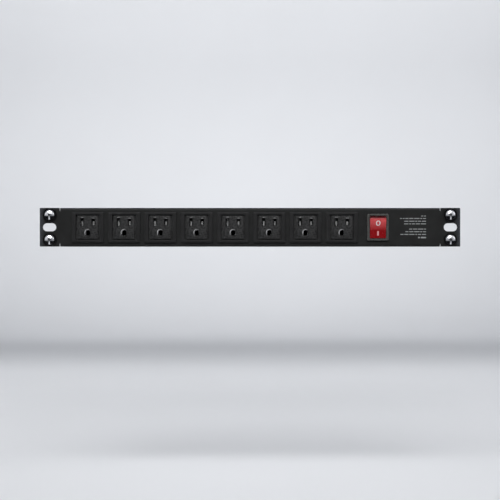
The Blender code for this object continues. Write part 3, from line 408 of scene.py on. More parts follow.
def rod(bm, start, end, radius, end_radius=None, steps=32):
    start, end = Vector(start), Vector(end)
    bmesh.ops.create_cone(
        bm,
        cap_ends=True,
        segments=steps,
        radius1=radius,
        radius2=radius if end_radius is None else end_radius,
        depth=(end - start).length,
        matrix=Matrix.Translation((start + end) / 2) @ turn_to(end - start),
    )


def arc(centre, radius, start, end, steps=8):
    """Points on an arc; the angles are in degrees."""
    angles = [math.radians(start + (end - start) * i / steps) for i in range(steps + 1)]
    return [(centre[0] + radius * math.cos(a), centre[1] + radius * math.sin(a)) for a in angles]


def rounded(half_wide, half_tall, radius, steps=6, x=0.0, z=0.0):
    """Outline of a rectangle with round corners."""
    points = []
    for i, (sx, sz) in enumerate(((1, 1), (-1, 1), (-1, -1), (1, -1))):
        centre = (x + sx * (half_wide - radius), z + sz * (half_tall - radius))
        points += arc(centre, radius, 90 * i, 90 * (i + 1), steps)
    return points


def obround(x, z, length, tall, steps=20):
    radius = tall / 2
    reach = length / 2 - radius
    right = arc((x + reach, z), radius, -90, 90, steps)
    return right + arc((x - reach, z), radius, 90, 270, steps)


def loft(bm, rings, closed=False):
    """Skins rings of 3-D points, all with the same count. closed joins the last to the first."""
    rows = [[bm.verts.new(p) for p in ring] for ring in rings]
    pairs = list(zip(rows, rows[1:]))
    if closed:
        pairs.append((rows[-1], rows[0]))
    count = len(rows[0])
    for a, b in pairs:
        for i in range(count):
            j = (i + 1) % count
            bm.faces.new((a[i], a[j], b[j], b[i]))
    if not closed:
        bm.faces.new(rows[0])
        bm.faces.new(rows[-1])


def lofted(name, rings, material=None, closed=False):
    bm = bmesh.new()
    loft(bm, rings, closed)
    return make(name, bm, material)


def facing(outline, y):
    """An (x, z) outline at depth y."""
    return [(x, y, z) for x, z in outline]


def grown(half, by):
    """Half a width and half a height, both grown by a distance."""
    return half[0] + by, half[1] + by


def across(section, x):
    """A (y, z) section at x."""
    return [(x, y, z) for y, z in section]


def apply_modifiers(obj):
    bpy.context.view_layer.update()
    graph = bpy.context.evaluated_depsgraph_get()
    mesh = bpy.data.meshes.new_from_object(obj.evaluated_get(graph))
    obj.modifiers.clear()
    obj.data = mesh


def boolean(obj, other, operation="DIFFERENCE"):
    """Cuts with, or joins, another object, and removes that object."""
    modifier = obj.modifiers.new(operation, "BOOLEAN")
    modifier.operation = operation
    modifier.solver = "EXACT"
    modifier.object = other
    apply_modifiers(obj)
    bpy.data.objects.remove(other)


def carve(obj, name, build, *sizes, operation="DIFFERENCE", **more):
    """Cuts one box, rod or loft from an object, or joins it on."""
    bm = bmesh.new()
    build(bm, *sizes, **more)
    boolean(obj, make(name, bm), operation)


def add_thread(screw, sharp, *sizes):
    """Adds a thread to a screw's mesh without merging the two."""
    bm = bmesh.new()
    bm.from_mesh(screw.data)
    thread(bm, *sizes)
    bm.to_mesh(screw.data)
    bm.free()
    smooth(screw.data, sharp)


def soften(obj, width, segments=2):
    """Rounds an object's sharp edges and evens its shading."""
    bevel = obj.modifiers.new("round edges", "BEVEL")
    bevel.width = width
    bevel.segments = segments
    bevel.limit_method = "ANGLE"
    bevel.angle_limit = math.radians(35)
    bevel.use_clamp_overlap = True
    apply_modifiers(obj)
    smooth(obj.data)
    weighted = obj.modifiers.new("even shading", "WEIGHTED_NORMAL")
    weighted.keep_sharp = True
    apply_modifiers(obj)


def turned(name, profile, material, steps=64, closed=False):
    """A shape turned about Z from (radius, height) points down its outer side."""
    bm = bmesh.new()
    columns = []
    for i in range(steps):
        a = 2 * math.pi * i / steps
        columns.append([bm.verts.new((r * math.cos(a), r * math.sin(a), h)) for r, h in profile])
    count = len(profile)
    for a, b in zip(columns, columns[1:] + columns[:1]):
        for i in range(count if closed else count - 1):
            j = (i + 1) % count
            bm.faces.new((a[i], b[i], b[j], a[j]))
    bmesh.ops.remove_doubles(bm, verts=bm.verts, dist=1e-7)
    return make(name, bm, material)


def place(obj, location, outward):
    """Puts a piece made about Z at a place, with its Z pointing outward."""
    obj.data.transform(Matrix.Translation(location) @ turn_to(Vector(outward)))


def node_box(node):
    """Low corner, high corner and middle of a CAD node."""
    low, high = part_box(node)
    return low, high, (low + high) / 2


def stands_for(piece, slot, *nodes, body="strip"):
    """The piece replaces these CAD nodes and rides on their body."""
    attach(piece, body)
    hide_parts(*nodes)


# --------------------------------------
# Camera, stage and lights


def camera():
    data = bpy.data.cameras.new("camera")
    data.sensor_width = SENSOR
    data.lens = SENSOR * CAMERA_DISTANCE / FRAME_WIDTH
    data.clip_end = 50
    obj = added("camera", data, (0, -CAMERA_DISTANCE, -CAMERA_DROP))
    obj.rotation_euler = (math.radians(90), 0, 0)
    bpy.context.scene.camera = obj


def stage():
    """A round floor whose rim curves up into a wall all round."""
    floor, reach, bend, top = -0.3, 2.6, 1.0, 4.0
    profile = [(radius, floor) for radius in (0, 0.6, reach - bend)]
    profile += arc((reach, floor + bend), bend, -90, 0, 16)
    profile += [(reach + bend, top)]
    surface = turned("stage", profile[::-1], stage_paper(), 96)
    for polygon in surface.data.polygons:
        polygon.flip()


def area_light(name, place_at, aim, size, watts, spread):
    data = bpy.data.lights.new(name, "AREA")
    data.shape = "RECTANGLE"
    data.size, data.size_y = size
    data.energy = watts
    data.spread = math.radians(spread)
    obj = added(name, data, place_at)
    direction = Vector(aim) - Vector(place_at)
    obj.rotation_euler = direction.to_track_quat("-Z", "Y").to_euler()


def lights():
    """A key from the front and above, side and back lights, and two that keep to the floor and wall."""
    strip, floor, wall = (0, 0, 0), (0, 1.35, -0.3), (0, 3.6, 0.5)
    # name, place, aim, size, watts, spread in degrees
    specs = (
        ("key", (-0.1, -1.1, 1.0), strip, (1.3, 0.7), 4.2, 60),
        ("floor", (0, 1.35, 2.6), floor, (3.6, 1.0), 6.5, 30),
        ("wall", (0, 1.9, 2.6), wall, (3.6, 0.8), 25, 80),
        ("left", (-1.5, -0.9, 0.4), strip, (0.5, 0.9), 0.4, 80),
        ("right", (1.5, -0.6, 0.6), strip, (0.5, 0.9), 0.8, 80),
        ("back left", (-1.3, 1.3, 0.1), strip, (0.6, 0.6), 2.5, 60),
        ("back right", (1.3, 1.3, 0.1), strip, (0.6, 0.6), 2.5, 60),
    )
    for spec in specs:
        area_light(*spec)
    world = bpy.context.scene.world or bpy.data.worlds.new("world")
    bpy.context.scene.world = world
    world.use_nodes = True
    background = world.node_tree.nodes["Background"]
    background.inputs["Color"].default_value = (0.85, 0.9, 1.0, 1)
    background.inputs["Strength"].default_value = 0.24
    bpy.context.scene.view_settings.view_transform = "Standard"


# --------------------------------------
# Case


def front_cover():
    """One folded sheet: panel, flanges and ears, with the windows, slots and countersinks cut in it."""
    low, high, _ = node_box("front_cover")
    back = low.y + FRONT_SHEET
    fold = (low.y + FOLD, high.z - FOLD)
    outer = arc(fold, FOLD, 90, 180, 10)
    inner = arc(fold, FOLD - FRONT_SHEET, 90, 180, 10)
    outer += [(y, -z) for y, z in reversed(outer)]
    inner += [(y, -z) for y, z in reversed(inner)]
    section = [(high.y, high.z), *outer, (high.y, low.z), (high.y, low.z + FRONT_SHEET)]
    section += [*inner[::-1], (high.y, high.z - FRONT_SHEET)]
    ends = [across(section, x) for x in (-BODY_HALF_WIDTH, BODY_HALF_WIDTH)]
    cover = lofted("front_cover_sheet", ends, CASE)
    tab = high.z - FOLD - RELIEF
    root, start = BODY_HALF_WIDTH - 2 * MM, BODY_HALF_WIDTH + RELIEF
    tip, corner = high.x, 0.8 * MM
    for side in (LEFT, RIGHT):
        upper = [(root, tab), (start, tab), (start, high.z)]
        upper += arc((tip - corner, high.z - corner), corner, 90, 0, 5)
        points = [(side * x, z) for x, z in upper + [(x, -z) for x, z in reversed(upper)]]
        carve(cover, "ear", loft, [facing(points, y) for y in (low.y, back)], operation="UNION")
        for x, z, length, tall in EAR_SLOTS:
            outline = obround(side * x, z, length, tall)
            carve(cover, "slot", loft, [facing(outline, y) for y in (low.y - MM, back + MM)])
    bm = bmesh.new()
    windows = [(f"outlet_frame_{number}", OUTLET_WINDOW) for number in range(1, 9)]
    for node, (wide, tall) in (*windows, ("switch_housing", SWITCH_WINDOW)):
        middle = node_box(node)[2]
        box(bm, (middle.x - wide, low.y - MM, -tall), (middle.x + wide, back + MM, tall))
    boolean(cover, make("windows", bm))
    mouth_radius, floor_radius = 3.4 * MM, 1.6 * MM
    bm = bmesh.new()
    for node, side in COVER_SCREWS:
        middle = node_box(node)[2]
        mouth = Vector((middle.x, middle.y, side * (high.z + GAP)))
        floor = mouth - Vector((0, 0, side * (FRONT_SHEET + 2 * GAP)))
        rod(bm, mouth, floor, mouth_radius, floor_radius)
    boolean(cover, make("countersinks", bm))
    soften(cover, EDGE)
    stands_for(cover, "painted_steel", "front_cover")


def rear_cover():
    """Tray behind: back and ends, with short flanges at the top and the bottom."""
    low, high, _ = node_box("rear_cover")
    bend, flange = 1.8 * MM, 12 * MM
    bm = bmesh.new()
    box(bm, low, high)
    bmesh.ops.delete(bm, geom=[f for f in bm.faces if f.normal.y < -0.5], context="FACES")
    folds = [e for e in bm.edges if all(abs(v.co.y - high.y) < 1e-6 for v in e.verts)]
    bmesh.ops.bevel(bm, geom=folds, offset=bend, segments=6, profile=0.5, affect="EDGES")
    cover = make("rear_cover_sheet", bm, CASE)
    shell = cover.modifiers.new("sheet", "SOLIDIFY")
    shell.thickness = REAR_SHEET
    shell.offset = -1
    shell.use_even_offset = True
    apply_modifiers(cover)
    carve(cover, "flange trim", box, (low.x + REAR_SHEET, low.y - MM, low.z - MM),
          (high.x - REAR_SHEET, high.y - flange, high.z + MM))
    screw_hole, gland_hole, ground_hole = 1.8 * MM, 9.4 * MM, 2.3 * MM
    bm = bmesh.new()
    for number in (1, 2, 3):
        _, _, middle = node_box(f"cover_screw_top_{number}")
        rod(bm, (middle.x, middle.y, low.z - MM), (middle.x, middle.y, high.z + MM), screw_hole)
    for node, radius in (("gland_body", gland_hole), ("ground_screw", ground_hole)):
        _, _, middle = node_box(node)
        x, z = middle.x, middle.z
        rod(bm, (x, high.y - 4 * MM, z), (x, high.y + 2 * MM, z), radius, steps=64)
    boolean(cover, make("holes", bm))
    soften(cover, EDGE)
    stands_for(cover, "painted_steel", "rear_cover")


# --------------------------------------
# Screws and washers


def cross_recess(reach, wing, depth, top):
    """Cutter for a cross recess: a tapered plus, sunk from height top."""
    def plus(scale):
        a, b, c = reach * scale, wing * (0.55 + 0.45 * scale), wing * (0.9 + 0.4 * scale)
        return [
            (a, b), (c, c), (b, a), (-b, a), (-c, c), (-a, b),
            (-a, -b), (-c, -c), (-b, -a), (b, -a), (c, -c), (a, -b),
        ]
    levels = ((1.12, top + 0.6 * MM), (1.0, top - 0.1 * MM), (0.42, top - depth * 0.8), (0.12, top - depth))
    return lofted("recess", [[(x, y, h) for x, y in plus(scale)] for scale, h in levels])


def thread(bm, radius, pitch, start, end, steps=24):
    """A screw thread about Z from height start down to end, with a chamfered tip."""
    turns = abs(end - start) / pitch
    rows = int(turns * 8)
    rings = []
    for row in range(rows + 1):
        height = start + (end - start) * row / rows
        ring = []
        for i in range(steps):
            a = 2 * math.pi * i / steps
            phase = (height / pitch + i / steps) % 1
            depth = 0.6 * pitch * (1 - abs(2 * phase - 1))
            tip = max(0, 1 - abs(height - end) / (1.2 * pitch)) * pitch
            r = radius - depth - tip * 0.6
            ring.append((r * math.cos(a), r * math.sin(a), height))
        rings.append(ring)
    loft(bm, rings)


def dome(radius, height):
    """Profile of a pan head, from its middle to the edge of its seat."""
    steps, edge = 10, height * 0.35
    turns = [math.radians(90 * i / steps) for i in range(steps + 1)]
    points = [(radius * math.sin(a), edge + (height - edge) * math.cos(a)) for a in turns]
    return points + [(radius, 0.12 * MM), (radius - 0.12 * MM, 0)]


def rack_fixings():
    """The rack screws and cup washers, each made once about the origin and copied to its places."""
    low, high, _ = node_box("rack_screw_left_upper")
    washer_low, washer_high, _ = node_box("cup_washer_left_upper")
    floor = 1.6 * MM  # of the cup, over the washer's back
    seat = washer_high.y - floor
    head = seat - low.y
    shank, pitch, recess = 3 * MM, 1.0 * MM, (3.0 * MM, 0.62 * MM, 2.4 * MM)
    profile = [*dome((high.x - low.x) / 2, head), (0, 0)]
    screw = turned("rack_screw_shape", profile, rack_screw_metal(low.y))
    boolean(screw, cross_recess(*recess, head))
    add_thread(screw, 38, shank, pitch, -0.02 * MM, -(high.y - seat))
    place(screw, (0, seat, 0), (0, -1, 0))
    outer = (washer_high.x - washer_low.x) / 2
    tall = washer_high.y - washer_low.y
    bore, ease = 3.3 * MM, 0.15 * MM
    profile = arc((outer - 1.65 * MM, tall - 0.35 * MM), 0.35 * MM, 180, 60, 5)
    profile += arc((outer - 1.0 * MM, 1.0 * MM), 1.0 * MM, 35, 0, 4)
    profile += [(outer, ease), (outer - ease, 0), (bore + ease, 0), (bore, ease)]
    profile += [(bore, 1.15 * MM), (bore + ease, 1.3 * MM), (outer - 2.4 * MM, 1.3 * MM)]
    profile += [(outer - 2.05 * MM, floor)]
    washer = turned("cup_washer_shape", profile, WASHER, closed=True)
    place(washer, (0, washer_high.y, 0), (0, -1, 0))
    kinds = (("rack_screw", "plated", screw, "zinc"), ("cup_washer", "nylon", washer, "washer_black"))
    for corner in ("left_upper", "left_lower", "right_upper", "right_lower"):
        _, _, middle = node_box(f"rack_screw_{corner}")
        for word, finish, shape, slot in kinds:
            made = added(f"{word}_{finish}_{corner}", shape.data, (middle.x, 0, middle.z))
            stands_for(made, slot, f"{word}_{corner}")
    for shape in (screw, washer):
        bpy.data.objects.remove(shape)


def case_screws():
    """Countersunk screws through the folds, with their heads flush with the outside."""
    sunk = [(0, 0), (2.7 * MM, 0), (2.8 * MM, -0.1 * MM), (1.5 * MM, -1.3 * MM), (0, -1.3 * MM)]
    shank, pitch, recess = 1.5 * MM, 0.5 * MM, (1.7 * MM, 0.36 * MM, 1.1 * MM)
    for node, side in COVER_SCREWS:
        low, high, middle = node_box(node)
        screw = turned(f"{node}_plated", sunk, PLATED, 48)
        boolean(screw, cross_recess(*recess, 0))
        add_thread(screw, 34, shank, pitch, -1.28 * MM, -(high.z - low.z), 16)
        head = high.z if side == UP else low.z
        place(screw, (middle.x, middle.y, head), (0, 0, side))
        stands_for(screw, "zinc", node)


# --------------------------------------
# Outlets


def latches(bm, x, top, start, end):
    """Wedges above and below a snap-in piece, which catch behind the panel."""
    for side in (UP, DOWN):
        wedge = [
            (start, side * (top - 0.4 * MM)),
            (start, side * (top + 0.9 * MM)),
            (start + 0.5 * MM, side * (top + 0.9 * MM)),
            (end, side * (top - 0.4 * MM)),
        ]
        loft(bm, [across(wedge, x + dx) for dx in (-4 * MM, 4 * MM)])


def outlet_frame():
    """Snap-in bezel with a broad outer bevel and a sleeve through the panel."""
    low, high, _ = node_box("outlet_frame_1")
    rim = ((high.x - low.x) / 2, (high.z - low.z) / 2)
    sleeve = (15.2 * MM, 16.0 * MM)
    opening = (13.6 * MM, 14.4 * MM)
    front, flange_back, back = low.y, low.y + 1.6 * MM, high.y
    bevel, lip = 1.7 * MM, 0.25 * MM
    rings = [
        (*opening, 0.8 * MM, back),
        (*opening, 0.8 * MM, front + lip),
        (*grown(opening, 0.07 * MM), 0.85 * MM, front + 0.3 * lip),
        (*grown(opening, lip), 1.0 * MM, front),
        (*grown(rim, -bevel - 0.2 * MM), 0.6 * MM, front),
        (*grown(rim, -bevel + 0.2 * MM), 0.75 * MM, front + 0.02 * MM),
        (*grown(rim, -0.25 * MM), 1.3 * MM, front + 0.22 * MM),
        (*rim, 1.4 * MM, front + 0.45 * MM),
        (*rim, 1.4 * MM, flange_back),
        (*sleeve, 0.9 * MM, flange_back),
        (*sleeve, 0.9 * MM, back),
    ]
    bm = bmesh.new()
    loft(bm, [facing(rounded(w, t, r), y) for w, t, r, y in rings], closed=True)
    latches(bm, 0, sleeve[1], flange_back + FRONT_SHEET + 2 * GAP, back - GAP)
    return make("outlet_frame_shape", bm, FRAME_BLACK)


def slot_cutter(outline_at, front, back, mouth):
    """Cutter for a slot whose mouth flares by mouth. outline_at gives the outline grown by a width."""
    levels = ((mouth * 1.5, front - mouth * 0.5), (mouth, front), (mouth * 0.35, front + mouth * 0.45),
              (0, front + mouth * 1.1), (0, back))
    return lofted("slot", [facing(outline_at(grow), y) for grow, y in levels])


def ridge(bm, path, face):
    """Half-round ridge on the face along a path of (x, z), with tapered ends."""
    rings = []
    end_share, sink, last = 0.3, 0.04 * MM, len(path) - 1
    for i, (x, z) in enumerate(path):
        before, after = path[max(i - 1, 0)], path[min(i + 1, last)]
        along = Vector((after[0] - before[0], after[1] - before[1])).normalized()
        size = min(1, end_share + 3 * min(i, last - i) / last)
        ring = []
        for step in range(11):
            a = math.radians(18 * step)
            aside = size * RIDGE_WIDTH / 2 * math.cos(a)
            height = size * RIDGE_HEIGHT * math.sin(a)
            ring.append((x + along.y * aside, face + sink - height, z - along.x * aside))
        ring += [(px, face + 0.3 * MM, pz) for px, _, pz in (ring[-1], ring[0])]
        rings.append(ring)
    loft(bm, rings)


def outlet_core():
    """Socket insert: textured face with flared slots, ridges over them, hollow behind."""
    low, high, _ = node_box("outlet_core_1")
    front, back = low.y + RIDGE_HEIGHT, high.y
    shoulder, floor = low.y + 1.8 * MM, low.y + 2.2 * MM
    face = (12.0 * MM, 13.3 * MM)
    body = (13.3 * MM, 14.1 * MM)
    lip = ((high.x - low.x) / 2, (high.z - low.z) / 2)
    wall = 1.5 * MM
    lip_start, lip_end = low.y + 7.4 * MM, low.y + 8.9 * MM
    rings = [
        (*grown(face, -0.5 * MM), 0.7 * MM, front),
        (*grown(face, -0.12 * MM), 0.9 * MM, front + 0.14 * MM),
        (*face, 1.0 * MM, front + 0.5 * MM),
        (*face, 1.0 * MM, shoulder),
        (*body, 1.0 * MM, shoulder),
        (*body, 1.0 * MM, lip_start),
        (*lip, 1.0 * MM, lip_start),
        (*lip, 1.0 * MM, lip_end),
        (*body, 1.0 * MM, lip_end),
        (*body, 1.0 * MM, back),
        (*grown(body, -wall), 0.5 * MM, back),
        (*grown(body, -wall), 0.5 * MM, floor),
    ]
    core = lofted("outlet_core_shape", [facing(rounded(w, t, r), y) for w, t, r, y in rings], CORE)
    inside = grown(body, -wall / 2)
    start = floor - 0.4 * MM
    carve(core, "rib", box, (-0.6 * MM, start, -0.9 * MM), (0.6 * MM, back, inside[1]), operation="UNION")
    carve(core, "shelf", box, (-inside[0], start, -1.9 * MM), (inside[0], back, -0.7 * MM), operation="UNION")
    ridges = []
    for x, (wide, tall) in ((-BLADE_X, NEUTRAL_SLOT), (BLADE_X, LINE_SLOT)):
        def blade(grow, x=x, wide=wide, tall=tall):
            return rounded(wide / 2 + grow, tall / 2 + grow * 0.5, 0.25 * MM + grow * 0.4, 3, x, PIN_Z)
        boolean(core, slot_cutter(blade, front, floor + MM, SLOT_FLARE))
        over, long = PIN_Z + tall / 2 + 1.05 * MM, wide + 0.6 * MM
        ridges.append([(x + (i / 8 - 0.5) * long, over) for i in range(9)])

    def arch(grow):
        top = arc((0, -PIN_Z), GROUND_RADIUS + grow, 0, 180, 16)
        foot = GROUND_FLOOR_Z - grow
        return [*top, (-GROUND_RADIUS - grow, foot), (GROUND_RADIUS + grow, foot)]
    boolean(core, slot_cutter(arch, front, floor + MM, GROUND_FLARE))
    radius, foot = GROUND_RADIUS + 0.5 * MM, GROUND_FLOOR_Z + 0.4 * MM
    left = [(-radius, foot + (-PIN_Z - foot) * i / 5) for i in (4, 3, 2, 1, 0)]
    ridges.append(arc((0, -PIN_Z), radius, 0, 180, 20) + left)
    bm = bmesh.new()
    for node in ("neutral_bus_bar", "line_bus_bar", "ground_bus_bar"):
        bar_low, bar_high, _ = node_box(node)
        strip = bar_high.z - BAR_THICK if node == "neutral_bus_bar" else bar_low.z
        box(bm, (-lip[0], bar_high.y - BAR_DEEP - GAP, strip - GAP),
            (lip[0], back + MM, strip + BAR_THICK + GAP))
    boolean(core, make("bar notches", bm))
    smooth(core.data)
    walls, rims = 1, 2  # material indices
    bm = bmesh.new()
    bm.from_mesh(core.data)
    for face in bm.faces:
        x, y, z = face.calc_center_median()
        in_slot = abs(abs(x) - BLADE_X) < 2.2 * MM and abs(z - PIN_Z) < 5 * MM
        in_arch = abs(x) < 3 * MM and -10 * MM < z < -3 * MM
        # Faces in the holes' walls and mouths take the slot material, painted nearly black as shade
        if y < floor and abs(face.normal.y) < 0.98 and (in_slot or in_arch):
            face.material_index = walls
    count = len(bm.faces)
    for path in ridges:
        ridge(bm, path, front)
    bm.faces.ensure_lookup_table()
    for face in bm.faces[count:]:
        face.material_index = rims
        face.smooth = True
    core.data.materials.append(SLOT)
    core.data.materials.append(RIM)
    bmesh.ops.recalc_face_normals(bm, faces=bm.faces)
    bm.to_mesh(core.data)
    bm.free()
    return core


def outlets():
    shapes = (("frame", outlet_frame(), "frame_plastic"), ("core", outlet_core(), "core_plastic"))
    for number in range(1, 9):
        _, _, middle = node_box(f"outlet_frame_{number}")
        for word, shape, slot in shapes:
            made = added(f"outlet_{word}_moulded_{number}", shape.data, (middle.x, 0, 0))
            stands_for(made, slot, f"outlet_{word}_{number}")
    for _, shape, _ in shapes:
        bpy.data.objects.remove(shape)


def bus_bars():
    """Rolled strips with sprung leaves that reach forward, flare at the mouth and pinch behind it."""
    leaf = 0.5 * MM
    # node, the leaves' x in an outlet, half their gap at the mouth, where the gap is least, the
    # tips' height, whether the strip is above them
    specs = (
        ("neutral_bus_bar", -BLADE_X, 0.25 * MM, 0.05 * MM, 5.2 * MM, True),
        ("line_bus_bar", BLADE_X, 0.25 * MM, 0.05 * MM, 4.3 * MM, False),
        ("ground_bus_bar", 0.0, 2.3 * MM, 2.0 * MM, 5.4 * MM, False),
    )
    for node, offset, half_gap, pinch, tall, above in specs:
        low, high, _ = node_box(node)
        strip = (high.z - BAR_THICK, high.z) if above else (low.z, low.z + BAR_THICK)
        tips = (low.z, low.z + tall) if above else (high.z - tall, high.z)
        stem = (low.z, high.z - BAR_THICK / 2) if above else (low.z + BAR_THICK / 2, high.z)
        bar_front = high.y - BAR_DEEP
        bm = bmesh.new()
        box(bm, (low.x, bar_front, strip[0]), (high.x, high.y, strip[1]))
        reach = bar_front - low.y
        path = [
            (half_gap, low.y), (half_gap - 0.1 * MM, low.y + 0.06 * reach),
            (pinch, low.y + 0.25 * reach), (pinch + 0.05 * MM, low.y + 0.7 * reach),
            (half_gap, bar_front),
        ]
        for number in range(1, 9):
            x = node_box(f"outlet_core_{number}")[2].x + offset
            for side in (LEFT, RIGHT):
                section = [(x + side * a, y) for a, y in path]
                section += [(x + side * (a + leaf), y) for a, y in reversed(path)]
                loft(bm, [[(px, y, z) for px, y in section] for z in tips])
                near, away = sorted((x + side * half_gap, x + side * (half_gap + leaf)))
                box(bm, (near, bar_front, stem[0]), (away, high.y, stem[1]))
        bar = make(f"{node}_rolled", bm, TINNED)
        stands_for(bar, "tinned_brass", node)


# --------------------------------------
# Switch


def rocker_outline(inset=0.0):
    """(y, z) outline of the rocker about its pivot, in the middle of its travel."""
    slope, blend = math.tan(TILT), 5 * MM
    skirt = 3.1 * MM + (MM if inset else 0)
    corner, middle = ROCKER_RADIUS - inset, ROCKER_MIDDLE - inset
    root = math.sqrt(corner**2 * (1 + slope**2) - middle**2)
    half = (root - middle * slope) / (1 + slope**2)
    face = []
    for i in range(25):
        z = half * (1 - i / 12)
        rise = abs(z) if abs(z) > blend else z * z / (2 * blend) + blend / 2
        face.append((-(middle + slope * rise), z))
    bottom = math.degrees(math.acos(skirt / corner))
    top = math.degrees(math.atan2(face[0][1], face[0][0]))
    down = arc((0, 0), corner, -top, -bottom, 12)
    up = arc((0, 0), corner, bottom, top, 12)
    return face + down[1:] + up[:-1]


def tilted(obj):
    """Turns a piece made about the rocker's pivot to its place at rest."""
    x = node_box("switch_housing")[2].x
    obj.data.transform(Matrix.Translation((x, PIVOT_Y, 0)) @ Matrix.Rotation(TILT, 4, "X"))


def rocker():
    """Hollow button with a stem for the plunger, posts that hold it and a trunnion at each end."""
    half, inner = ROCKER_WIDTH / 2, ROCKER_WIDTH / 2 - ROCKER_WALL
    button = lofted("rocker_button", [across(rocker_outline(), x) for x in (-half, half)], ROCKER)
    soften(button, 0.55 * MM, 4)
    carve(button, "hollow", loft, [across(rocker_outline(ROCKER_WALL), x) for x in (-inner, inner)])
    x, root, back, floor = -4 * MM, -3.4 * MM, 7.4 * MM, 1.2 * MM
    stem, bore = 2.6 * MM, 1.75 * MM
    carve(button, "stem", rod, (x, root, 0), (x, back, 0), stem, operation="UNION")
    carve(button, "bore", rod, (x, floor, 0), (x, back + MM, 0), bore)
    trunnion = 1.5 * MM
    for side in (LEFT, RIGHT):
        z = side * 3 * MM
        low, high = (2.9 * MM, -3.8 * MM, z - 0.5 * MM), (4.1 * MM, -1.1 * MM, z + 0.5 * MM)
        carve(button, "post", box, low, high, operation="UNION")
        ends = [(side * (half + reach), 0, 0) for reach in (-0.5 * MM, 0.8 * MM)]
        carve(button, "trunnion", rod, *ends, trunnion, operation="UNION")
    smooth(button.data)
    tilted(button)
    stands_for(button, "rocker_red", "switch_rocker", body="rocker")


def rocker_marks():
    """The O and the I, printed on the two halves of the rocker's face."""
    for name, side, reach in (("mark_off", UP, 6.1 * MM), ("mark_on", DOWN, 6.2 * MM)):
        bm = bmesh.new()
        if side == UP:
            outer = rounded(2.5 * MM, 3.2 * MM, 2.45 * MM, 10)
            inner = rounded(1.4 * MM, 2.1 * MM, 1.35 * MM, 10)
            levels = ((outer, 0.2 * MM), (outer, -0.12 * MM), (inner, -0.12 * MM), (inner, 0.2 * MM))
            loft(bm, [facing(points, y) for points, y in levels], closed=True)
        else:
            bar = rounded(0.9 * MM, 2.6 * MM, 0.3 * MM, 4)
            loft(bm, [facing(bar, y) for y in (0.2 * MM, -0.1 * MM)])
        # The I takes the white ink with painted shade
        mark = make(name, bm, GLYPH if side == UP else GLYPH_PAINTED_SHADE)
        lean = Matrix.Rotation(side * TILT, 4, "X")
        centre = Matrix.Translation((0, -ROCKER_MIDDLE, 0)) @ lean @ Matrix.Translation((0, 0, side * reach))
        mark.data.transform(centre)
        tilted(mark)
        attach(mark, "rocker")


def switch_housing():
    """Glossy bezel round a well, with the body that snaps in behind it."""
    low, high, middle = node_box("switch_housing")
    rim = wide, tall = (high.x - low.x) / 2, (high.z - low.z) / 2
    front, flange_back, back = low.y, low.y + 2.2 * MM, high.y
    well, body = (9.55 * MM, 13.55 * MM), (10.8 * MM, 14.2 * MM)
    rings = [
        (*well, 0.6 * MM, back - 3 * MM),
        (*well, 0.6 * MM, front + 1.2 * MM),
        (well[0], well[1] - 0.4 * MM, 0.8 * MM, front + 1.0 * MM),
        (well[0], well[1] - 0.4 * MM, 0.8 * MM, front + 0.3 * MM),
        (well[0] + 0.1 * MM, well[1] - 0.3 * MM, 0.9 * MM, front + 0.08 * MM),
        (well[0] + 0.35 * MM, well[1] - 0.05 * MM, 1.1 * MM, front),
        (wide - 0.6 * MM, tall - 0.5 * MM, 1.2 * MM, front),
        (wide - 0.35 * MM, tall - 0.3 * MM, 1.5 * MM, front + 0.08 * MM),
        (*grown(rim, -0.1 * MM), 1.8 * MM, front + 0.3 * MM),
        (*rim, 2.0 * MM, front + 0.8 * MM),
        (*rim, 2.0 * MM, flange_back),
        (*body, 0.8 * MM, flange_back),
        (*body, 0.8 * MM, back),
    ]
    bm = bmesh.new()
    loft(bm, [facing(rounded(w, t, r, 8, middle.x), y) for w, t, r, y in rings])
    latches(bm, middle.x, body[1], flange_back + FRONT_SHEET + 2 * GAP, 3.1 * MM)
    housing = make("switch_housing_moulded", bm, BEZEL)
    reach = ROCKER_WIDTH / 2 + 0.8 * MM + GAP
    ends = [(middle.x + side * reach, PIVOT_Y, 0) for side in (LEFT, RIGHT)]
    carve(housing, "pivot holes", rod, *ends, 1.8 * MM)
    bm = bmesh.new()
    for node in ("switch_terminal_line_out", "switch_terminal_line_in", "switch_terminal_lamp"):
        t_low, t_high, t_middle = node_box(node)
        z = t_high.z - 0.4 * MM if t_middle.z > 0.001 else t_low.z + 0.4 * MM
        box(bm, (t_low.x - GAP, back - 4 * MM, z - 0.7 * MM), (t_high.x + GAP, back + MM, z + 0.7 * MM))
    boolean(housing, make("terminal slots", bm))
    smooth(housing.data)
    stands_for(housing, "bezel_plastic", "switch_housing")


# --------------------------------------
# Printed label


def label():
    """Right-aligned bars on the panel, in place of printed lines. They can't be read."""
    low, _, _ = node_box("front_cover")
    right = 202 * MM
    lines = (
        (12.9, 5.6, 1.1), (10.1, 29.8, 1.2), (6.9, 25.2, 1.2), (3.9, 25.2, 1.2),
        (-2.1, 20.6, 1.2), (-5.1, 25.2, 1.2), (-8.2, 29.8, 1.2), (-11.8, 9.2, 1.9),
    )
    bm = bmesh.new()
    for number, (z, length, tall) in enumerate(lines):
        x = right
        word = 0
        while x > right - (length - 1.5) * MM:
            wide = (2.2 + 1.3 * ((word * 7 + number * 5) % 4)) * MM
            wide = min(wide, x - (right - length * MM))
            bar = rounded(wide / 2, tall / 2 * MM * 0.8, 0.25 * MM, 3, x - wide / 2, z * MM)
            loft(bm, [facing(bar, y) for y in (low.y + 0.01 * MM, low.y - 0.03 * MM)])
            x -= wide + 0.9 * MM
            word += 1
    bars = make("label_bars", bm, LABEL)
    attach(bars, "strip")


# --------------------------------------
# Cord gland and inner pieces


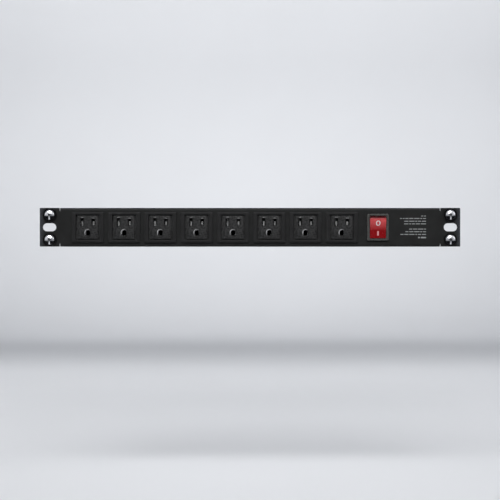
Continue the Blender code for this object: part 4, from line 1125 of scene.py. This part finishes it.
def gland_body():
    """Hexagonal flange and tube, with the thread that goes through the case."""
    low, high, middle = node_box("gland_body")
    x, z = middle.x, middle.z
    flange = node_box("rear_cover")[1].y + GAP
    tube = flange + 6 * MM
    hexagon = (high.z - low.z) / 2
    tube_radius, thread_radius, pitch, bore, seat = 8.6 * MM, 9.1 * MM, 1.5 * MM, 5.6 * MM, 7.2 * MM
    bm = bmesh.new()
    rod(bm, (x, flange, z), (x, tube, z), hexagon, steps=6)
    body = make("gland_body_moulded", bm, GLAND)
    corner = turned("chamfer", [(0, 3.2 * MM), (10.4 * MM, 3.2 * MM), (13.4 * MM, 1.6 * MM),
                                (13.4 * MM, -1.6 * MM), (10.4 * MM, -3.2 * MM), (0, -3.2 * MM)], None)
    place(corner, (x, (flange + tube) / 2, z), (0, 1, 0))
    boolean(body, corner, "INTERSECT")
    soften(body, 0.3 * MM, 3)
    carve(body, "tube", rod, (x, tube - MM, z), (x, high.y, z), tube_radius, steps=64, operation="UNION")
    bm = bmesh.new()
    thread(bm, thread_radius, pitch, 0, -(flange + MM - low.y), 48)
    screw = make("gland thread", bm)
    place(screw, (x, flange + MM, z), (0, 1, 0))
    boolean(body, screw, "UNION")
    carve(body, "bore", rod, (x, low.y - MM, z), (x, high.y + MM, z), bore, steps=64)
    carve(body, "seat", rod, (x, tube - 2.5 * MM, z), (x, high.y + MM, z), seat, steps=64)
    smooth(body.data)
    stands_for(body, "gland_nylon", "gland_body")


def gland_cap():
    """Domed compression cap with grip ribs."""
    low, high, middle = node_box("gland_cap")
    length = (high.y - low.y) / MM
    outer = (high.x - low.x) / 2
    rings = []
    steps, ribs, rib_height = 144, 18, 0.3
    profile = [
        (5.4, length), (6.2, length), (8.4, length - 0.35), (9.9, length - 1.3),
        (11.0, length - 2.9), (11.5, length - 4.6), (11.55, 0.5), (11.1, 0.0), (9.1, 0.0),
        (8.9, 0.3), (8.9, length - 3.1), (8.5, length - 3.0), (5.7, length - 3.0),
        (5.4, length - 2.7),
    ]
    for r, h in profile:
        ribbed = 10.5 < r < 11.6
        ring = []
        for i in range(steps):
            a = 2 * math.pi * i / steps
            rib = rib_height * max(0, math.cos(ribs * a)) ** 0.6 if ribbed else 0
            ring.append(((r + rib) * MM * math.cos(a), (r + rib) * MM * math.sin(a), h * MM))
        rings.append(ring)
    cap = lofted("gland_cap_moulded", rings, GLAND, closed=True)
    cap.data.transform(Matrix.Scale(min(1, outer / (11.9 * MM)), 4))
    place(cap, (middle.x, low.y, middle.z), (0, 1, 0))
    stands_for(cap, "gland_nylon", "gland_cap")


def gland_seal():
    """Rubber sleeve with a rippled bore."""
    low, high, middle = node_box("gland_seal")
    length = (high.y - low.y) / MM
    profile = [(5.1, length), (6.6, length), (6.9, length - 0.4), (6.9, 0.4), (6.6, 0), (5.1, 0)]
    waves = 8
    for i in range(waves * 4 + 1):
        share = i / (waves * 4)
        ripple = 0.2 * math.sin(math.pi * waves * share) ** 2
        profile.append((5.15 - ripple, 0.2 + (length - 0.4) * share))
    seal = turned("gland_seal_moulded", [(r * MM, h * MM) for r, h in profile], RUBBER, closed=True)
    place(seal, (middle.x, low.y, middle.z), (0, 1, 0))
    stands_for(seal, "seal_rubber", "gland_seal")


def dress(node, material):
    """Gives a CAD node that keeps its shape a finished material."""
    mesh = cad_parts[node].data
    mesh.materials.clear()
    mesh.materials.append(material)
    smooth(mesh, 35)


def inner_pieces():
    """The CAD nodes inside the case, and the locknut, keep their shapes."""
    kept = {
        "bus_bar_cover": FRAME_BLACK,
        "switch_plunger": INNER,
        "plunger_spring": SPRING_STEEL,
        "switch_lamp": lamp_glass(),
        "tilting_contact": TINNED,
        "switch_terminal_line_out": TINNED,
        "switch_terminal_line_in": TINNED,
        "switch_terminal_lamp": TINNED,
        "ground_lug": TINNED,
        "ground_screw": PLATED,
        "gland_locknut": GLAND,
        **WIRES,
    }
    for node, material in kept.items():
        dress(node, material)


camera()
stage()
lights()
front_cover()
rear_cover()
rack_fixings()
case_screws()
outlets()
bus_bars()
switch_housing()
rocker()
rocker_marks()
label()
gland_body()
gland_cap()
gland_seal()
inner_pieces()
